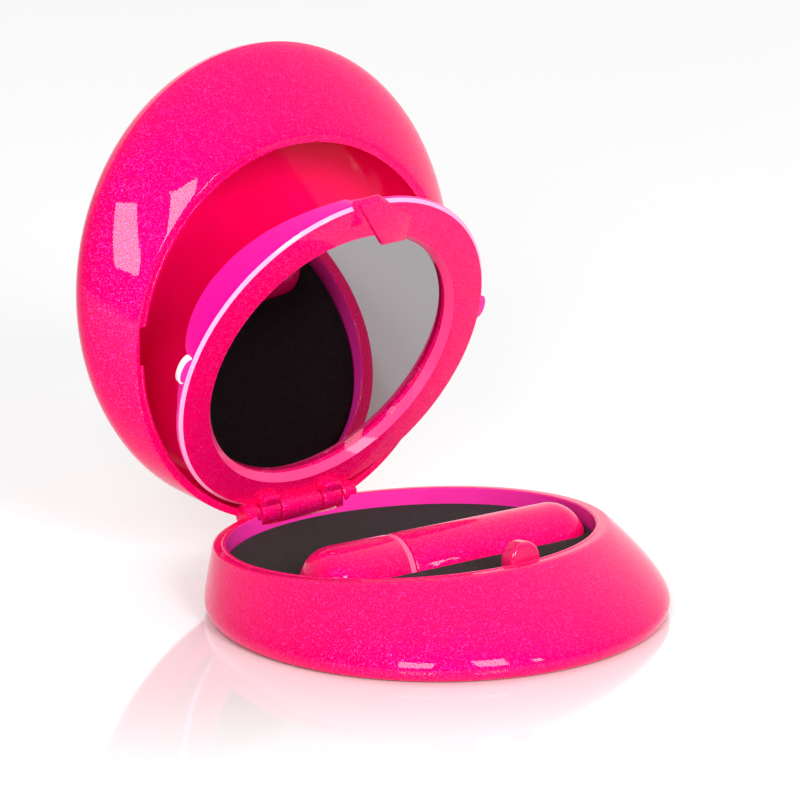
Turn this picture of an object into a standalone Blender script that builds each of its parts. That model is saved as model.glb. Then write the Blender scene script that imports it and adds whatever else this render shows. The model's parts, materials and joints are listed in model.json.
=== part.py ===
"""Compact case: a dish, a domed lid and a mirror frame on one hinge, with a capsule massager in foam.

Units are metres, +Z is up, the base rests on Z = 0, the hinge pin lies along X at the back (+Y),
and the latch is at the front (-Y). The model stands open, as it is used.
"""
import math

import bmesh
import bpy
from mathutils import Matrix, Vector

MM = 0.001
GAP = 0.3 * MM

# Rims: the circle in which the base and the lid meet, low at the hinge and high at the latch.
RIM_CENTRE_Y = 8.2 * MM
RIM_CENTRE_Z = 12.15 * MM
RIM_TILT = math.radians(5.3)
RIM_GAP = 0.15 * MM
BASE_RIM_RADIUS = 35.0 * MM
BASE_MOUTH_RADIUS = 32.8 * MM
LID_RIM_RADIUS = 35.4 * MM
LID_MOUTH_RADIUS = 33.7 * MM

# Base shell below its rim.
BASE_WIDE_RADIUS = 41.0 * MM
BASE_WIDE_Y = 0.7 * MM
BASE_WIDE_Z = 2.2 * MM
BASE_REST_RADIUS = 39.8 * MM
BASE_WALL = 1.6 * MM
LINER_RADIUS = 34.0 * MM
FLOOR_RADIUS = 37.3 * MM
FLOOR_THICKNESS = 1.1 * MM
FLARE_EASE = 1.35

# Lid shell above its rim, in the closed position.
LID_WIDE_RADIUS = 41.0 * MM
LID_WIDE_FORWARD = 7.7 * MM
LID_WIDE_HEIGHT = 8.6 * MM
LID_DOME_HEIGHT = 11.5 * MM
LID_DOME_POWER = 0.9
LID_STRETCH = 1.03
LID_WALL = 1.7 * MM
LID_DOME_WALL = 2.0 * MM

# Hinge: one pin carries the base, the lid and the mirror frame.
PIN_TO_CENTRE = 33.0 * MM
PIN_TO_FRAME = 32.3 * MM
PIN_RADIUS = 0.75 * MM
PIN_HALF = 12.0 * MM
KNUCKLE_RADIUS = 2.1 * MM
KNUCKLE_BORE = 1.05 * MM
KNUCKLE_CLEARANCE = 2.5 * MM
LID_KNUCKLE_HALF = 4.5 * MM
FRAME_KNUCKLE = (4.9 * MM, 9.0 * MM)
BASE_KNUCKLE = (9.4 * MM, 12.4 * MM)
LID_NOTCH_HALF = 12.8 * MM
LID_NOTCH_HEIGHT = 2.6 * MM
LID_OPEN = math.radians(84.4)
FRAME_OPEN = math.radians(63.3)

# Mirror frame, measured up from the plane of the pin with the lid shut.
FRAME_RADIUS = 33.0 * MM
MIRROR_WINDOW_RADIUS = 26.0 * MM
GLASS_RADIUS = 27.0 * MM
FRAME_FACE = 2.2 * MM
FRAME_LIP = 0.7 * MM
GLASS_THICKNESS = 1.4 * MM
FRAME_BACK = 4.9 * MM
BACKING_RADIUS = 30.0 * MM
BACKING_THICKNESS = 1.0 * MM
SKIRT_RADIUS = 32.3 * MM
SKIRT_WALL = 1.1 * MM
SKIRT_PEAK = 4.2 * MM
SKIRT_FREE_END = 1.4 * MM
SKIRT_PEAK_ANGLE = math.radians(55)
SKIRT_END_ANGLE = math.radians(82)
FRAME_FLAT = 0.9 * MM
FRAME_RELIEF = 0.4 * MM
WINDOW_CHAMFER = 0.6 * MM

# Catch block on the free end of the mirror frame, and the tongue on the base that enters it.
BLOCK_HALF = 4.8 * MM
BLOCK_INNER = 58.0 * MM
BLOCK_OUTER = 67.0 * MM
BLOCK_RAISE = 1.3 * MM
BLOCK_FOOT = 60.9 * MM
BLOCK_FOOT_DEPTH = 1.1 * MM
BLOCK_POCKET_DEPTH = 1.5 * MM
TONGUE_HALF = 3.3 * MM
TONGUE_RISE = 3.1 * MM
TONGUE_DROP = 2.4 * MM
TONGUE_SPAN = (61.9 * MM, 65.3 * MM)

# Detent nubs on both sides of the mirror frame.
NUB_ANGLE = math.radians(84.5)
NUB_RADIUS = 2.3 * MM
NUB_THICKNESS = 1.2 * MM
NUB_REACH = 34.2 * MM

# Foam insert and the capsule that lies in it.
FOAM_RADIUS = 32.4 * MM
FOAM_DROP = 2.8 * MM
NEST_CLEARANCE = 0.3 * MM
CAPSULE_RADIUS = 6.9 * MM
CAPSULE_LENGTH = 57.0 * MM
CAPSULE_Y = -1.1 * MM
CAPSULE_Z = 8.75 * MM
CAPSULE_TURN = math.radians(-5.3)
CAPSULE_WALL = 1.0 * MM
CAPSULE_END_ROUND = 6.1 * MM
CAP_SEAM = -10.4 * MM
SEAL_HALF = 0.5 * MM
BUTTON_RADIUS = 3.0 * MM

BATTERY_RADIUS = 5.5 * MM
BATTERY_THICKNESS = 5.2 * MM
BATTERY_START = -21.6 * MM
BATTERY_COUNT = 3
MOTOR_RADIUS = 3.4 * MM
MOTOR_SPAN = (-2.6 * MM, 8.6 * MM)
SHAFT_RADIUS = 0.5 * MM
WEIGHT_RADIUS = 3.6 * MM
WEIGHT_SPAN = (10.6 * MM, 14.4 * MM)

SHELL_SIDES = 64
FRAME_SIDES = 64
CAPSULE_SIDES = 32
SMALL_SIDES = 20

FINISHES = {
    "glitter_pink_shell": ((0.90, 0.0, 0.13, 1.0), 0.18, 0.25),
    "magenta_plastic": ((0.86, 0.02, 0.36, 1.0), 0.22, 0.0),
    "clear_catch": ((0.95, 0.05, 0.30, 1.0), 0.10, 0.0),
    "black_foam": ((0.022, 0.016, 0.017, 1.0), 0.95, 0.0),
    "mirror": ((0.85, 0.86, 0.86, 1.0), 0.02, 1.0),
    "white_silicone": ((0.86, 0.83, 0.85, 1.0), 0.35, 0.0),
    "pale_pink_seal": ((0.95, 0.30, 0.50, 1.0), 0.40, 0.0),
    "steel": ((0.60, 0.60, 0.60, 1.0), 0.30, 1.0),
    "brass": ((0.75, 0.55, 0.25, 1.0), 0.35, 1.0),
    "board": ((0.05, 0.25, 0.10, 1.0), 0.60, 0.0),
    "dark_plastic": ((0.05, 0.05, 0.05, 1.0), 0.50, 0.0),
}


def clear_scene():
    """Remove everything that the file opened with."""
    for item in list(bpy.data.objects):
        bpy.data.objects.remove(item, do_unlink=True)


def finish(name):
    """The Principled material of that name, made on first use."""
    known = bpy.data.materials.get(name)
    if known is not None:
        return known
    colour, roughness, metallic = FINISHES[name]
    made = bpy.data.materials.new(name)
    made.use_nodes = True
    shader = made.node_tree.nodes["Principled BSDF"]
    shader.inputs["Base Color"].default_value = colour
    shader.inputs["Roughness"].default_value = roughness
    shader.inputs["Metallic"].default_value = metallic
    return made


def pivot(name, place, turns):
    """An empty on a joint's axis, turned about X, Y and Z."""
    empty = bpy.data.objects.new(name, None)
    empty.location = place
    empty.rotation_euler = turns
    bpy.context.scene.collection.objects.link(empty)
    return empty


def to_object(name, shape, finish_name, parent=None):
    """Turn a bmesh into an object with outward faces and smooth round sides."""
    bmesh.ops.remove_doubles(shape, verts=shape.verts, dist=1e-7)
    bmesh.ops.recalc_face_normals(shape, faces=shape.faces)
    if shape.calc_volume(signed=True) < 0.0:
        bmesh.ops.reverse_faces(shape, faces=shape.faces)
    mesh = bpy.data.meshes.new(name)
    shape.to_mesh(mesh)
    shape.free()
    mesh.shade_smooth()
    mesh.set_sharp_from_angle(angle=math.radians(35))
    thing = bpy.data.objects.new(name, mesh)
    bpy.context.scene.collection.objects.link(thing)
    thing.parent = parent
    if finish_name:
        mesh.materials.append(finish(finish_name))
    return thing


def circle(radius, y, z, tilt=0.0, sides=SHELL_SIDES, stretch=1.0):
    """Points of a circle whose front (-Y) is lifted by the tilt; stretch lengthens it front to back."""
    points = []
    for step in range(sides):
        turn = 2.0 * math.pi * step / sides
        forward = stretch * radius * math.cos(turn)
        place = (radius * math.sin(turn), y - forward * math.cos(tilt), z + forward * math.sin(tilt))
        points.append(Vector(place))
    return points


def circle_x(radius, x, y, z, sides):
    """Points of a circle square to the X axis."""
    points = []
    for step in range(sides):
        turn = 2.0 * math.pi * (step + 0.5) / sides
        points.append(Vector((x, y + radius * math.cos(turn), z + radius * math.sin(turn))))
    return points


def loft(loops, closed=False):
    """Skin a run of equal loops; a closed run joins its last loop to its first, an open one is capped."""
    shape = bmesh.new()
    rows = [[shape.verts.new(point) for point in loop] for loop in loops]
    pairs = list(zip(rows, rows[1:]))
    if closed:
        pairs.append((rows[-1], rows[0]))
    for lower, upper in pairs:
        count = len(lower)
        for index in range(count):
            after = (index + 1) % count
            shape.faces.new((lower[index], lower[after], upper[after], upper[index]))
    if not closed:
        shape.faces.new(rows[0])
        shape.faces.new(rows[-1])
    return shape


def box(low, high):
    """A block between two corners."""
    shape = bmesh.new()
    size = [high[axis] - low[axis] for axis in range(3)]
    centre = [(high[axis] + low[axis]) / 2.0 for axis in range(3)]
    bmesh.ops.create_cube(shape, size=1.0, matrix=Matrix.Translation(centre) @ Matrix.Diagonal((*size, 1.0)))
    return shape


def rod_x(radius, start, end, y=0.0, z=0.0, sides=SMALL_SIDES):
    """A solid rod along X."""
    return loft([circle_x(radius, start, y, z, sides), circle_x(radius, end, y, z, sides)])


def turned_x(profile, y=0.0, z=0.0, sides=SMALL_SIDES, closed=False):
    """A shape turned about an axis along X from (x, radius) pairs."""
    return loft([circle_x(radius, x, y, z, sides) for x, radius in profile], closed)


def combine(target, tool, operation):
    """Apply a Boolean at once and remove the tool."""
    modifier = target.modifiers.new(operation.lower(), "BOOLEAN")
    modifier.operation = operation
    modifier.solver = "EXACT"
    modifier.object = tool
    bpy.context.view_layer.update()
    view = bpy.context.evaluated_depsgraph_get()
    mesh = bpy.data.meshes.new_from_object(target.evaluated_get(view))
    target.modifiers.clear()
    old = target.data
    target.data = mesh
    mesh.name = target.name
    bpy.data.meshes.remove(old)
    bpy.data.objects.remove(tool, do_unlink=True)


def cut(target, shape):
    """Take a shape, given in the target's own axes, away from the target."""
    combine(target, to_object("cutter", shape, None, target.parent), "DIFFERENCE")


def join(target, shape):
    """Add a shape, given in the target's own axes, to the target."""
    combine(target, to_object("addition", shape, None, target.parent), "UNION")


def flare(amount):
    """Share of the way from the rim to the widest circle that the wall has spread, easing to upright."""
    return 1.0 - (1.0 - amount) ** FLARE_EASE


def blend(start, end, share):
    """The value that share of the way from start to end."""
    return start + (end - start) * share


def rim_point(forward, height):
    """World (Y, Z) of a point given along and above the rim plane, from the middle of the rim."""
    y = RIM_CENTRE_Y - forward * math.cos(RIM_TILT) + height * math.sin(RIM_TILT)
    z = RIM_CENTRE_Z + forward * math.sin(RIM_TILT) + height * math.cos(RIM_TILT)
    return y, z


def rim_circle(radius, height, sides=SHELL_SIDES):
    """A circle parallel to the rim plane and that far above it."""
    y, z = rim_point(0.0, height)
    return circle(radius, y, z, RIM_TILT, sides)


def base_wall(share, inset=0.0):
    """A circle of the base's flared wall, from the rim (0) to the widest level (1)."""
    spread = flare(share)
    radius = blend(BASE_RIM_RADIUS, BASE_WIDE_RADIUS, spread) - inset
    y = blend(RIM_CENTRE_Y, BASE_WIDE_Y, spread)
    z = blend(RIM_CENTRE_Z - RIM_GAP, BASE_WIDE_Z, share)
    return circle(radius, y, z, RIM_TILT * (1.0 - share))


def base_edge(turn):
    """A circle of the rounded edge between the base's wall and the plane that it rests on."""
    round_over = BASE_WIDE_RADIUS - BASE_REST_RADIUS
    radius = BASE_WIDE_RADIUS - round_over * (1.0 - math.cos(turn))
    return circle(radius, BASE_WIDE_Y, BASE_WIDE_Z * (1.0 - math.sin(turn)))


def pin_place():
    """World place of the hinge axis at the middle of the pin."""
    y, z = rim_point(-PIN_TO_CENTRE, 0.0)
    return Vector((0.0, y, z))


def make_base_shell():
    """Flared dish wall with its inner liner, the seat for the floor plate and two hinge knuckles."""
    pin = pin_place()
    land = [rim_circle(BASE_RIM_RADIUS - 0.8 * MM, -RIM_GAP)]
    land.append(rim_circle(BASE_RIM_RADIUS - 0.2 * MM, -0.4 * MM))
    walls = [base_wall(share) for share in (0.07, 0.2, 0.35, 0.5, 0.65, 0.8, 0.91, 1.0)]
    edge = [base_edge(math.radians(turn)) for turn in (30, 60, 90)]
    shell = to_object("base_shell", loft(land + walls + edge), "glitter_pink_shell")

    below = -1.0 * MM
    above = 20.0 * MM
    step = FLOOR_THICKNESS + GAP
    step_radius = FLOOR_RADIUS + GAP
    hollow = [base_wall(share, BASE_WALL) for share in (0.25, 0.4, 0.6, 0.8, 1.0)]
    hollow.append(circle(BASE_WIDE_RADIUS - BASE_WALL - 0.1 * MM, BASE_WIDE_Y, step))
    hollow.append(circle(step_radius, BASE_WIDE_Y, step))
    hollow.append(circle(step_radius, BASE_WIDE_Y, below))
    pocket = to_object("pocket", loft(hollow), None)
    cut(pocket, loft([circle(LINER_RADIUS, RIM_CENTRE_Y, step), circle(LINER_RADIUS, RIM_CENTRE_Y, above)]))
    combine(shell, pocket, "DIFFERENCE")
    mouth = BASE_MOUTH_RADIUS
    cut(shell, loft([circle(mouth, RIM_CENTRE_Y, below), circle(mouth, RIM_CENTRE_Y, above)]))

    inner = BASE_KNUCKLE[0] - GAP / 2.0
    cut(shell, rod_x(KNUCKLE_CLEARANCE, -inner, inner, pin.y, pin.z, 24))
    for side in (-1.0, 1.0):
        ends = sorted((side * BASE_KNUCKLE[0], side * BASE_KNUCKLE[1]))
        join(shell, rod_x(KNUCKLE_RADIUS, ends[0], ends[1], pin.y, pin.z, 24))
    cut(shell, rod_x(KNUCKLE_BORE, -14.0 * MM, 14.0 * MM, pin.y, pin.z))
    return shell


def make_base_floor():
    """Flat plate that closes the dish from below."""
    plate = loft([circle(FLOOR_RADIUS, BASE_WIDE_Y, 0.0), circle(FLOOR_RADIUS, BASE_WIDE_Y, FLOOR_THICKNESS)])
    return to_object("base_floor", plate, "magenta_plastic")


def make_latch_tongue():
    """Rounded tongue on the inside of the front rim, standing proud of it."""
    near, far = (span - PIN_TO_CENTRE for span in TONGUE_SPAN)
    profile = [(TONGUE_HALF, -TONGUE_DROP), (TONGUE_HALF, TONGUE_RISE - 2.0 * MM)]
    for turn in (30, 60, 90):
        angle = math.radians(turn)
        height = TONGUE_RISE - 2.0 * MM * (1.0 - math.sin(angle))
        profile.append((TONGUE_HALF * math.cos(angle) ** 0.6, height))
    outline = profile[:-1] + [(-half, height) for half, height in reversed(profile[:-1])]
    loops = []
    for forward in (near, far):
        loop = []
        for half, height in outline:
            y, z = rim_point(forward, height)
            loop.append(Vector((half, y, z)))
        loops.append(loop)
    return to_object("latch_tongue", loft(loops), "clear_catch")


def make_hinge_pin():
    """Steel pin through all the knuckles."""
    pin = pin_place()
    return to_object("hinge_pin", rod_x(PIN_RADIUS, -PIN_HALF, PIN_HALF, pin.y, pin.z), "steel")


def lid_wall(share, inset):
    """A circle of the lid's flared wall in the lid's own axes, from its rim (0) to its widest level (1)."""
    spread = flare(share)
    radius = blend(LID_RIM_RADIUS, LID_WIDE_RADIUS, spread) - inset
    y = -PIN_TO_CENTRE - LID_WIDE_FORWARD * spread
    z = blend(RIM_GAP, LID_WIDE_HEIGHT, share)
    return circle(radius, y, z, RIM_TILT * share, stretch=blend(1.0, LID_STRETCH, spread))


def lid_dome(turn, inset):
    """A circle of the lid's dome above its widest level."""
    radius = (LID_WIDE_RADIUS - inset) * math.cos(turn) ** LID_DOME_POWER
    rise = (LID_DOME_HEIGHT - inset) * math.sin(turn) ** LID_DOME_POWER
    y = -PIN_TO_CENTRE - LID_WIDE_FORWARD + rise * math.sin(RIM_TILT)
    z = LID_WIDE_HEIGHT + rise * math.cos(RIM_TILT)
    return circle(radius, y, z, RIM_TILT, stretch=LID_STRETCH)


def make_lid_shell(lid_pivot):
    """Domed hollow lid with its knuckle and the reliefs for the hinge, the catch block and the nubs."""
    centre_y = -PIN_TO_CENTRE
    turns = [math.radians(turn) for turn in (12, 28, 45, 62, 76, 86)]
    shares = (0.1, 0.25, 0.42, 0.6, 0.8, 1.0)
    loops = [lid_dome(turn, LID_DOME_WALL) for turn in reversed(turns)]
    loops += [lid_wall(share, blend(LID_WALL, LID_DOME_WALL, share)) for share in reversed(shares)]
    loops += [circle(LID_MOUTH_RADIUS, centre_y, RIM_GAP)]
    loops += [circle(LID_RIM_RADIUS - 0.7 * MM, centre_y, RIM_GAP)]
    loops += [circle(LID_RIM_RADIUS - 0.2 * MM, centre_y, RIM_GAP + 0.25 * MM)]
    loops += [lid_wall(share, 0.0) for share in shares]
    loops += [lid_dome(turn, 0.0) for turn in turns]
    shell = to_object("lid_shell", loft(loops), "glitter_pink_shell", lid_pivot)

    notch = LID_NOTCH_HALF
    cut(shell, box((-notch, -6.0 * MM, -3.0 * MM), (notch, 6.0 * MM, LID_NOTCH_HEIGHT)))
    half = LID_KNUCKLE_HALF
    web = box((-half, 0.3 * MM, 0.0), (half, 2.0 * MM, LID_NOTCH_HEIGHT + 1.6 * MM))
    join(shell, web)
    join(shell, rod_x(KNUCKLE_RADIUS, -half, half, sides=24))
    cut(shell, rod_x(KNUCKLE_BORE, -half - MM, half + MM))

    swept = disc_z(FRAME_RADIUS + FRAME_RELIEF, -PIN_TO_FRAME, -MM, FRAME_BACK + FRAME_RELIEF)
    room = to_object("room", swept, None, lid_pivot)
    cut(room, box((-20.0 * MM, 0.0, -5.0 * MM), (20.0 * MM, 5.0 * MM, 10.0 * MM)))
    combine(shell, room, "DIFFERENCE")
    side = BLOCK_HALF + 0.4 * MM
    cut(shell, box((-side, -BLOCK_OUTER - FRAME_RELIEF, -MM), (side, -BLOCK_INNER, FRAME_BACK)))
    for sign in (-1.0, 1.0):
        reach = sorted((sign * 30.0 * MM, sign * (NUB_REACH + 0.35 * MM)))
        nub_y = -PIN_TO_FRAME - FRAME_RADIUS * math.cos(NUB_ANGLE)
        low = nub_y - NUB_RADIUS - 1.1 * MM
        cut(shell, box((reach[0], low, -MM), (reach[1], low + 2.0 * NUB_RADIUS + 1.6 * MM, LID_NOTCH_HEIGHT)))
    return shell


def skirt_height(turn):
    """Height of the skirt's back edge behind the frame, at an angle from the free end."""
    share = min(abs(turn) / SKIRT_PEAK_ANGLE, 1.0)
    height = blend(SKIRT_FREE_END, SKIRT_PEAK, math.sin(share * math.pi / 2.0) ** 2)
    if abs(turn) > SKIRT_PEAK_ANGLE:
        past = (abs(turn) - SKIRT_PEAK_ANGLE) / (SKIRT_END_ANGLE - SKIRT_PEAK_ANGLE)
        height = SKIRT_PEAK * math.sqrt(max(1.0 - past ** 2.2, 0.0)) + 0.1 * MM
    return height


def make_skirt():
    """Wall that stands behind the frame round its free end and fades out at both sides."""
    steps = 36
    loops = []
    for step in range(steps + 1):
        turn = blend(-SKIRT_END_ANGLE, SKIRT_END_ANGLE, step / steps)
        loop = []
        top = FRAME_BACK + skirt_height(turn)
        for radius, z in (
            (SKIRT_RADIUS - SKIRT_WALL, FRAME_BACK - 0.6 * MM),
            (SKIRT_RADIUS, FRAME_BACK - 0.6 * MM),
            (SKIRT_RADIUS, top),
            (SKIRT_RADIUS - SKIRT_WALL, top),
        ):
            loop.append(Vector((radius * math.sin(turn), -PIN_TO_FRAME - radius * math.cos(turn), z)))
        loops.append(loop)
    return loft(loops)


def make_mirror_frame(frame_pivot):
    """Ring round the mirror with its skirt, two hinge arms and the pocket for the catch block."""
    y = -PIN_TO_FRAME
    window = MIRROR_WINDOW_RADIUS
    seat = GLASS_RADIUS + GAP
    section = [
        (window, FRAME_FACE + WINDOW_CHAMFER),
        (window + WINDOW_CHAMFER, FRAME_FACE),
        (FRAME_RADIUS - 0.5 * MM, FRAME_FACE),
        (FRAME_RADIUS, FRAME_FACE + 0.5 * MM),
        (FRAME_RADIUS, FRAME_BACK),
        (seat, FRAME_BACK),
        (seat, FRAME_FACE + FRAME_LIP),
        (window, FRAME_FACE + FRAME_LIP),
    ]
    ring = loft([circle(radius, y, z, sides=FRAME_SIDES) for radius, z in section], closed=True)
    frame = to_object("mirror_frame", ring, "glitter_pink_shell", frame_pivot)
    join(frame, make_skirt())
    cut(frame, box((-15.0 * MM, -FRAME_FLAT, 0.0), (15.0 * MM, 5.0 * MM, 12.0 * MM)))
    for side in (-1.0, 1.0):
        ends = sorted((side * FRAME_KNUCKLE[0], side * FRAME_KNUCKLE[1]))
        arm = box((ends[0], -3.4 * MM, -0.9 * MM), (ends[1], -0.3 * MM, FRAME_BACK - 0.8 * MM))
        join(frame, arm)
        join(frame, rod_x(KNUCKLE_RADIUS, ends[0], ends[1], sides=24))
        cut(frame, rod_x(KNUCKLE_BORE, ends[0] - MM, ends[1] + MM))
    side = BLOCK_HALF + GAP
    low = (-side, -PIN_TO_FRAME - FRAME_RADIUS - MM, FRAME_FACE - MM)
    high = (side, -BLOCK_FOOT + GAP, FRAME_FACE + BLOCK_POCKET_DEPTH)
    cut(frame, box(low, high))
    return frame


def make_latch_block(frame_pivot):
    """Catch block: a raised plate with a foot let into the frame, and a slot for the base's tongue."""
    front = FRAME_FACE - BLOCK_RAISE
    back = FRAME_FACE - GAP
    plate = box((-BLOCK_HALF, -BLOCK_OUTER, front), (BLOCK_HALF, -BLOCK_INNER, back))
    face = [edge for edge in plate.edges if all(corner.co.z < front + GAP for corner in edge.verts)]
    bmesh.ops.bevel(plate, geom=face, offset=0.4 * MM, segments=2, affect="EDGES")
    block = to_object("latch_block", plate, "glitter_pink_shell", frame_pivot)
    foot_top = FRAME_FACE + BLOCK_FOOT_DEPTH
    join(block, box((-BLOCK_HALF, -BLOCK_OUTER + GAP, front + 0.6 * MM), (BLOCK_HALF, -BLOCK_FOOT, foot_top)))
    width = TONGUE_HALF + 0.5 * MM
    low = (-width, -TONGUE_SPAN[1] - 0.5 * MM, front - MM)
    high = (width, -TONGUE_SPAN[0] + 0.5 * MM, foot_top + MM)
    cut(block, box(low, high))
    return block


def disc_z(radius, y, low, high, sides=FRAME_SIDES):
    """A flat disc square to Z."""
    return loft([circle(radius, y, low, sides=sides), circle(radius, y, high, sides=sides)])


def make_mirror_glass(frame_pivot):
    """Round mirror held behind the frame's lip."""
    low = FRAME_FACE + FRAME_LIP + GAP
    glass = disc_z(GLASS_RADIUS, -PIN_TO_FRAME, low, low + GLASS_THICKNESS)
    return to_object("mirror_glass", glass, "mirror", frame_pivot)


def make_mirror_backing(frame_pivot):
    """Thin cover over the back of the mirror."""
    low = FRAME_BACK + GAP
    plate = disc_z(BACKING_RADIUS, -PIN_TO_FRAME, low, low + BACKING_THICKNESS)
    backing = to_object("mirror_backing", plate, "magenta_plastic", frame_pivot)
    cut(backing, box((-15.0 * MM, -4.2 * MM, 0.0), (15.0 * MM, 5.0 * MM, 12.0 * MM)))
    return backing


def make_detent_nub(name, side, frame_pivot):
    """Half-round nub on the frame's side wall, by the end of the skirt."""
    inner = FRAME_RADIUS + GAP
    out = Vector((side * math.sin(NUB_ANGLE), -math.cos(NUB_ANGLE), 0.0))
    along = Vector((math.cos(NUB_ANGLE) * side, math.sin(NUB_ANGLE), 0.0))
    centre = Vector((0.0, -PIN_TO_FRAME, 0.0)) + out * inner
    reach = NUB_REACH - inner
    outline = []
    for step in range(13):
        angle = math.pi * step / 12
        outline.append(centre + along * (NUB_RADIUS * math.cos(angle)) + out * (reach * math.sin(angle)))
    low = FRAME_FACE + 0.7 * MM
    loops = [[point + Vector((0.0, 0.0, z)) for point in outline] for z in (low, low + NUB_THICKNESS)]
    return to_object(name, loft(loops), "white_silicone", frame_pivot)


def capsule_profile(inset, start, end):
    """(x, radius) pairs of the capsule's side with rounded ends, between two places."""
    half = CAPSULE_LENGTH / 2.0 - inset
    radius = CAPSULE_RADIUS - inset
    bend = CAPSULE_END_ROUND - inset
    right = []
    for turn in (90, 72, 54, 36, 18, 0):
        angle = math.radians(turn)
        right.append((half - bend * (1.0 - math.cos(angle)), radius - bend * (1.0 - math.sin(angle))))
    left = [(-x, size) for x, size in reversed(right)]
    return [pair for pair in left + right if start <= pair[0] <= end]


def end_place(radius, inset=0.0):
    """How far from the capsule's middle its rounded end has that radius."""
    bend = CAPSULE_END_ROUND - inset
    lift = 1.0 - (CAPSULE_RADIUS - inset - radius) / bend
    return CAPSULE_LENGTH / 2.0 - inset - bend * (1.0 - math.sqrt(1.0 - lift * lift))


def make_capsule_body(capsule_pivot):
    """Long half of the capsule, open at the seam and bored for the button."""
    seam = CAP_SEAM + SEAL_HALF + GAP
    outer = capsule_profile(0.0, seam, CAPSULE_LENGTH)
    inner = capsule_profile(CAPSULE_WALL, seam, CAPSULE_LENGTH)
    bore = BUTTON_RADIUS + GAP
    outer = [(seam, CAPSULE_RADIUS)] + [pair for pair in outer if pair[1] > bore] + [(end_place(bore), bore)]
    inner = [(seam, CAPSULE_RADIUS - CAPSULE_WALL)] + [pair for pair in inner if pair[1] > bore]
    inner.append((end_place(bore, CAPSULE_WALL), bore))
    shape = turned_x(outer + list(reversed(inner)), sides=CAPSULE_SIDES, closed=True)
    return to_object("capsule_body", shape, "glitter_pink_shell", capsule_pivot)


def make_capsule_cap(capsule_pivot):
    """Short closed half of the capsule that comes off for the cells."""
    seam = CAP_SEAM - SEAL_HALF - GAP
    outer = capsule_profile(0.0, -CAPSULE_LENGTH, seam) + [(seam, CAPSULE_RADIUS)]
    inner = capsule_profile(CAPSULE_WALL, -CAPSULE_LENGTH, seam) + [(seam, CAPSULE_RADIUS - CAPSULE_WALL)]
    shape = turned_x(outer + list(reversed(inner)), sides=CAPSULE_SIDES)
    return to_object("capsule_cap", shape, "glitter_pink_shell", capsule_pivot)


def tube_x(outer, inner, start, end, sides=SMALL_SIDES):
    """A tube along X."""
    return turned_x([(start, outer), (end, outer), (end, inner), (start, inner)], sides=sides, closed=True)


def make_seal_ring(capsule_pivot):
    """Ring between the two halves of the capsule."""
    start, end = CAP_SEAM - SEAL_HALF, CAP_SEAM + SEAL_HALF
    ring = tube_x(CAPSULE_RADIUS - 0.05 * MM, BATTERY_RADIUS + GAP, start, end, CAPSULE_SIDES)
    return to_object("seal_ring", ring, "pale_pink_seal", capsule_pivot)


def make_batteries(capsule_pivot):
    """Button cells in a row, each with its raised pole."""
    pitch = BATTERY_THICKNESS + GAP
    for index in range(BATTERY_COUNT):
        start = BATTERY_START + index * pitch
        step = 0.5 * MM
        pole = 0.7 * BATTERY_RADIUS
        profile = [
            (start, BATTERY_RADIUS - step),
            (start + step, BATTERY_RADIUS),
            (start + BATTERY_THICKNESS - step, BATTERY_RADIUS),
            (start + BATTERY_THICKNESS - step, pole),
            (start + BATTERY_THICKNESS, pole),
        ]
        to_object(f"battery_cell_{index + 1}", turned_x(profile), "steel", capsule_pivot)


def make_contact_spring(capsule_pivot):
    """Conical contact spring between the cap and the first cell."""
    turns = 3.0
    steps = 36
    start = BATTERY_START - 3.6 * MM
    end = BATTERY_START - GAP - 0.25 * MM
    wire = 0.25 * MM
    loops = []
    for step in range(steps + 1):
        share = step / steps
        angle = 2.0 * math.pi * turns * share
        radius = blend(3.8 * MM, 2.2 * MM, share)
        x = blend(start, end, share)
        centre = Vector((x, radius * math.cos(angle), radius * math.sin(angle)))
        out = Vector((0.0, math.cos(angle), math.sin(angle)))
        ahead = Vector((1.0, 0.0, 0.0))
        loop = []
        for corner in range(6):
            swing = 2.0 * math.pi * corner / 6
            loop.append(centre + out * (wire * math.cos(swing)) + ahead * (wire * math.sin(swing)))
        loops.append(loop)
    return to_object("contact_spring", loft(loops), "steel", capsule_pivot)


def make_capsule_works(capsule_pivot):
    """Contacts, motor and switch inside the capsule."""
    pitch = BATTERY_THICKNESS + GAP
    spring_end = BATTERY_START - 3.6 * MM - 0.25 * MM - GAP
    cap_plate = rod_x(3.9 * MM, spring_end - 0.4 * MM, spring_end)
    to_object("cap_contact", cap_plate, "brass", capsule_pivot)
    stack_end = BATTERY_START + BATTERY_COUNT * pitch
    to_object("body_contact", rod_x(5.2 * MM, stack_end, stack_end + 0.4 * MM), "brass", capsule_pivot)
    to_object("motor_can", rod_x(MOTOR_RADIUS, MOTOR_SPAN[0], MOTOR_SPAN[1]), "steel", capsule_pivot)
    holder_inner = MOTOR_RADIUS + GAP
    holder_outer = CAPSULE_RADIUS - CAPSULE_WALL - GAP
    holder = tube_x(holder_outer, holder_inner, MOTOR_SPAN[0] + MM, MOTOR_SPAN[1] - MM)
    to_object("motor_holder", holder, "dark_plastic", capsule_pivot)
    board = rod_x(5.4 * MM, 18.0 * MM, 18.9 * MM)
    to_object("switch_board", board, "board", capsule_pivot)
    switch = box((19.2 * MM, -1.9 * MM, -1.9 * MM), (21.2 * MM, 1.9 * MM, 1.9 * MM))
    to_object("tact_switch", switch, "dark_plastic", capsule_pivot)


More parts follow.
